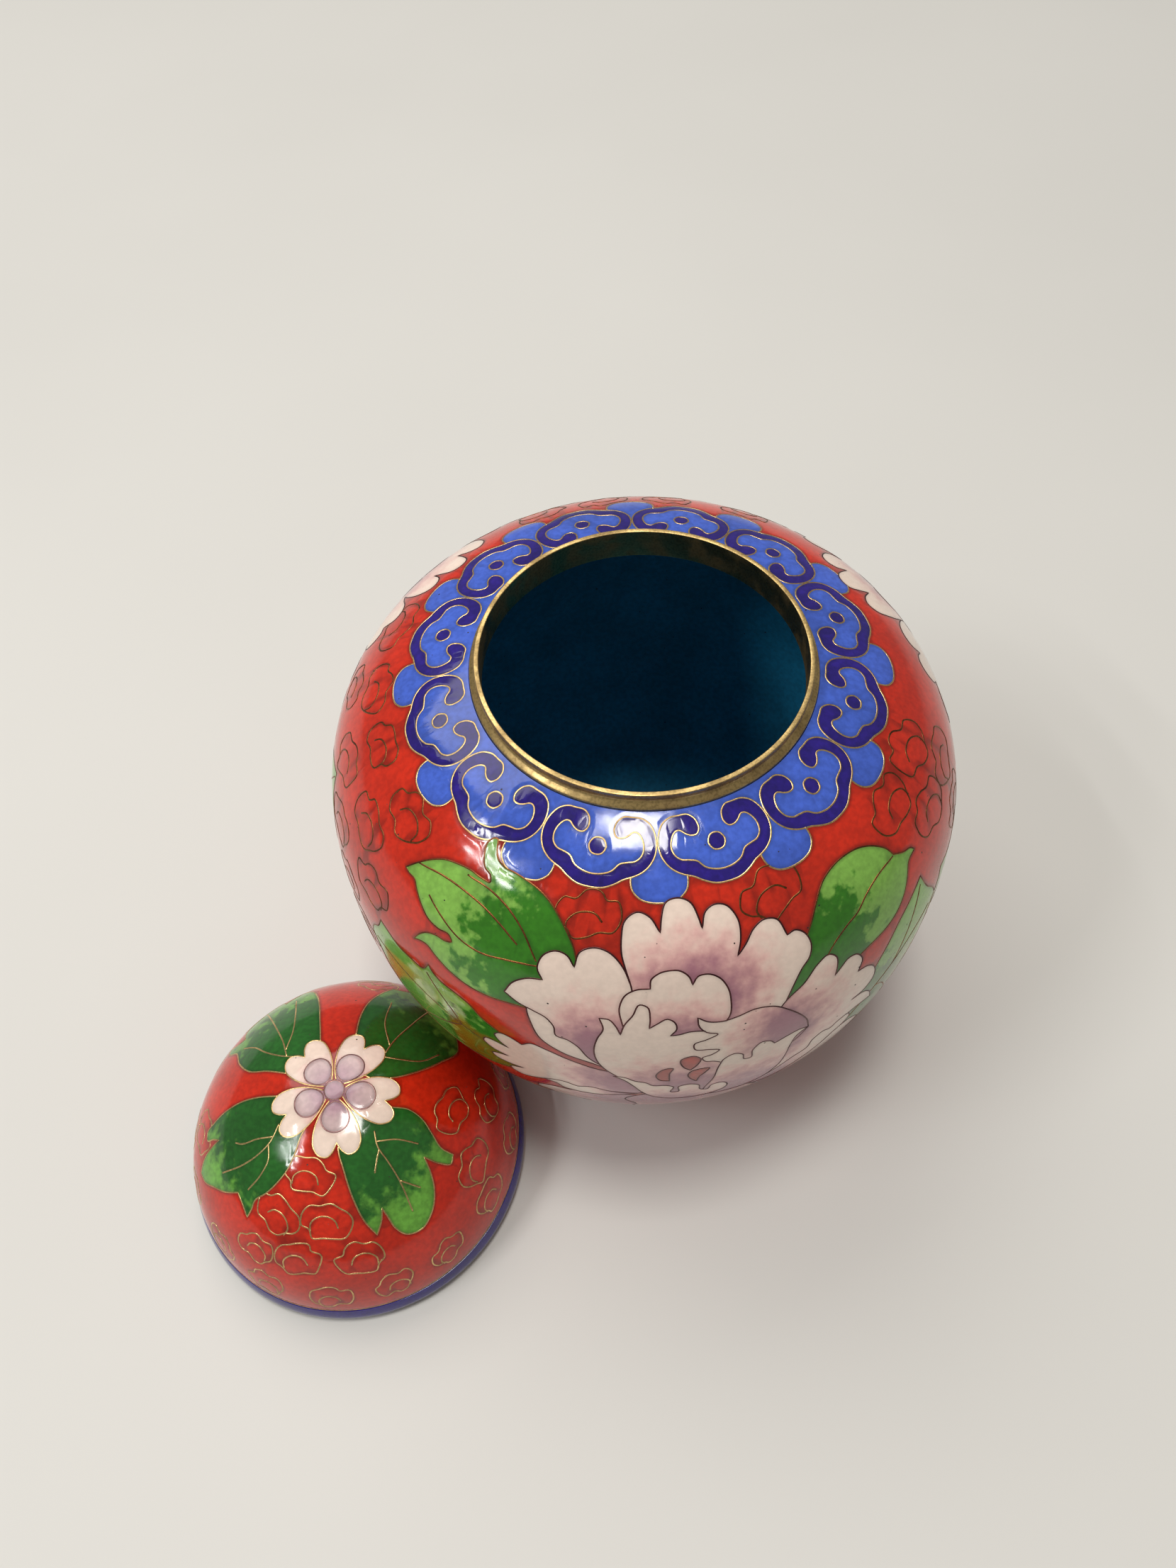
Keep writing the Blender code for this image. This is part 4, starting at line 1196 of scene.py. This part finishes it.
def stands_for(piece):
    """The CAD node that a cell piece is the first to stand for, or None."""
    if piece.startswith("peony_"):
        return piece.rsplit("_", 1)[0] + "_enamel" if piece.endswith("_sliver") else None
    if piece == "lid_blossom_petals":
        return "lid_blossom_enamel"
    if piece in ("jar_ground", "lid_ground", "collar_field"):
        return piece + "_enamel"
    return piece if piece.startswith(("leaf_", "lid_leaf_", "ruyi_head_")) else None


def make_skin(chart, body, motifs, veins, scrolls):
    """All cells and wires of one chart."""
    grouped = defaultdict(list)
    for number, m in enumerate(motifs):
        if m.wires:
            above = motifs[number + 1:]
            grouped[m.wires] += visible_runs(m.outline, True, above, motifs[0].outline)
    for number, line in veins:
        grouped[line.wires] += visible_runs(line.path, line.closed, motifs[number + 1:])
    for line in scrolls:
        grouped[line.wires] += visible_runs(line.path, line.closed, motifs[1:])
    spots = []
    for name, lines in grouped.items():
        piece, places = make_wires(chart, f"{name}_wires", lines, WIRES[name])
        add(piece, body, "neck_brass" if WIRES[name] is gilt_wire else "copper")
        spots.append(places)
    tree = tree_of(np.concatenate(spots))

    points, triangles, owners = arrange(chart, motifs)
    names = [m.piece for m in motifs]
    for name in dict.fromkeys(names):
        numbers = [i for i, other in enumerate(names) if other == name]
        mine = np.flatnonzero(np.isin(owners, numbers))
        if not len(mine):
            continue
        kind = motifs[numbers[0]].enamel
        chosen = [triangles[i] for i in mine]
        piece = make_cells(
            chart, f"{name}_cell", points, chosen, owners[mine], motifs, tree, enamels[kind]
        )
        node = stands_for(name)
        add(piece, body, SLOTS[kind], *([node] if node else []))


def make_jar_skin():
    """The jar's ground, collar, peonies and clouds."""
    end = JAR.along[-1]
    steps = np.arange(0, 360, 1.0) + CHART_START
    seam = np.arange(0, end, SEAM_STEP)
    rim = [(a, 0.0) for a in steps] + [(CHART_START + 360, s) for s in seam]
    rim += [(a + 1, end) for a in steps[::-1]] + [(CHART_START, end - s) for s in seam]
    ground = Motif("jar_ground", np.array(rim), "red", None, 1.0, None)
    found, veins = flowers()
    under = [ground] + collar()
    motifs = under + found
    veins = [(number + len(under) - 1, line) for number, line in veins]
    last = end - JAR_CLOUD_MARGIN
    scrolls = clouds(
        JAR, motifs[1:], JAR_CLOUD_SEED, JAR_CLOUD_START, last, "jar_cloud", JAR_CLOUD_PLACES
    )
    make_skin(JAR, "jar", motifs, veins, scrolls)


def make_lid_skin():
    """The lid's ground, leaves, blossom and clouds."""
    end = LID.along[-1]
    turns = np.radians(np.arange(0, 360, 1.0))
    rim = np.stack([end * np.cos(turns), end * np.sin(turns)], 1)
    ground = Motif("lid_ground", rim, "red", None, 1.0, None)
    found, veins = lid_motifs()
    motifs = [ground] + found
    last = end - LID_CLOUD_MARGIN
    scrolls = clouds(
        LID, motifs[1:], LID_CLOUD_SEED, LID_CLOUD_START, last, "lid_cloud", LID_CLOUD_PLACES
    )
    scrolls.append(Line(rim * (1 - EDGE_WIRE_INSET / end), True, "lid_edge"))
    make_skin(LID, "lid", motifs, veins, scrolls)


make_jar_skin()
make_lid_skin()
make_jar_turned()
make_lid_turned()


# Studio, in metres

LIGHT_AIM = Vector((0, 0, 0.06))
WHITE = (1.0, 1.0, 1.0)
WARM = (1.0, 0.97, 0.92)
STRIP_OFFSETS = (-0.09, 0, 0.09)
FLOOR_SIZE = 4


def make_floor():
    """A pale floor for the object to stand on."""
    bpy.ops.mesh.primitive_plane_add(size=FLOOR_SIZE)
    floor = bpy.context.object
    floor.name = "studio_floor"
    floor.data.materials.append(floor_paint())


def make_light(name, direction, distance, size, power, tint=WHITE):
    """A soft rectangular light that faces the object from a direction."""
    data = bpy.data.lights.new(name, "AREA")
    data.shape = "RECTANGLE"
    data.size, data.size_y = size
    data.energy = power
    data.color = tint
    light = bpy.data.objects.new(name, data)
    aim = Vector(direction).normalized()
    light.location = LIGHT_AIM + aim * distance
    light.rotation_euler = aim.to_track_quat("Z", "Y").to_euler()
    bpy.context.scene.collection.objects.link(light)


def make_camera():
    """The camera, pitched down and slightly rolled."""
    data = bpy.data.cameras.new("camera")
    data.lens = CAMERA_LENS
    data.sensor_width = SENSOR_WIDTH
    data.clip_start = CAMERA_NEAREST
    camera = bpy.data.objects.new("camera", data)
    pitch, roll = radians(CAMERA_PITCH), radians(CAMERA_ROLL)
    ahead = Vector((0, cos(pitch), -sin(pitch)))
    up = Vector((0, sin(pitch), cos(pitch)))
    right = Vector((1, 0, 0))
    turned_right = right * cos(roll) + up * sin(roll)
    turned_up = up * cos(roll) - right * sin(roll)
    axes = Matrix((turned_right, turned_up, -ahead)).transposed()
    camera.matrix_world = Matrix.Translation(CAMERA_PLACE) @ axes.to_4x4()
    bpy.context.scene.collection.objects.link(camera)
    bpy.context.scene.camera = camera


make_floor()
for number, aside in enumerate(STRIP_OFFSETS):
    name = f"left_strip_{number + 1}"
    make_light(name, (-0.62 + aside, -0.22 + aside, 0.76), 1.2, (0.34, 0.025), 1.4)
make_light("overhead", (-0.25, 0.5, 0.83), 1.5, (1.3, 0.8), 9.0, WARM)
make_light("downlight", (0.0, 0.0, 1.0), 1.6, (0.35, 0.35), 10.0, WARM)
world = bpy.data.worlds.new("studio")
world.use_nodes = True
world.node_tree.nodes["Background"].inputs["Color"].default_value = (0.9, 0.88, 0.84, 1)
world.node_tree.nodes["Background"].inputs["Strength"].default_value = 0.3
bpy.context.scene.world = world
bpy.context.scene.view_settings.view_transform = "Standard"
make_camera()
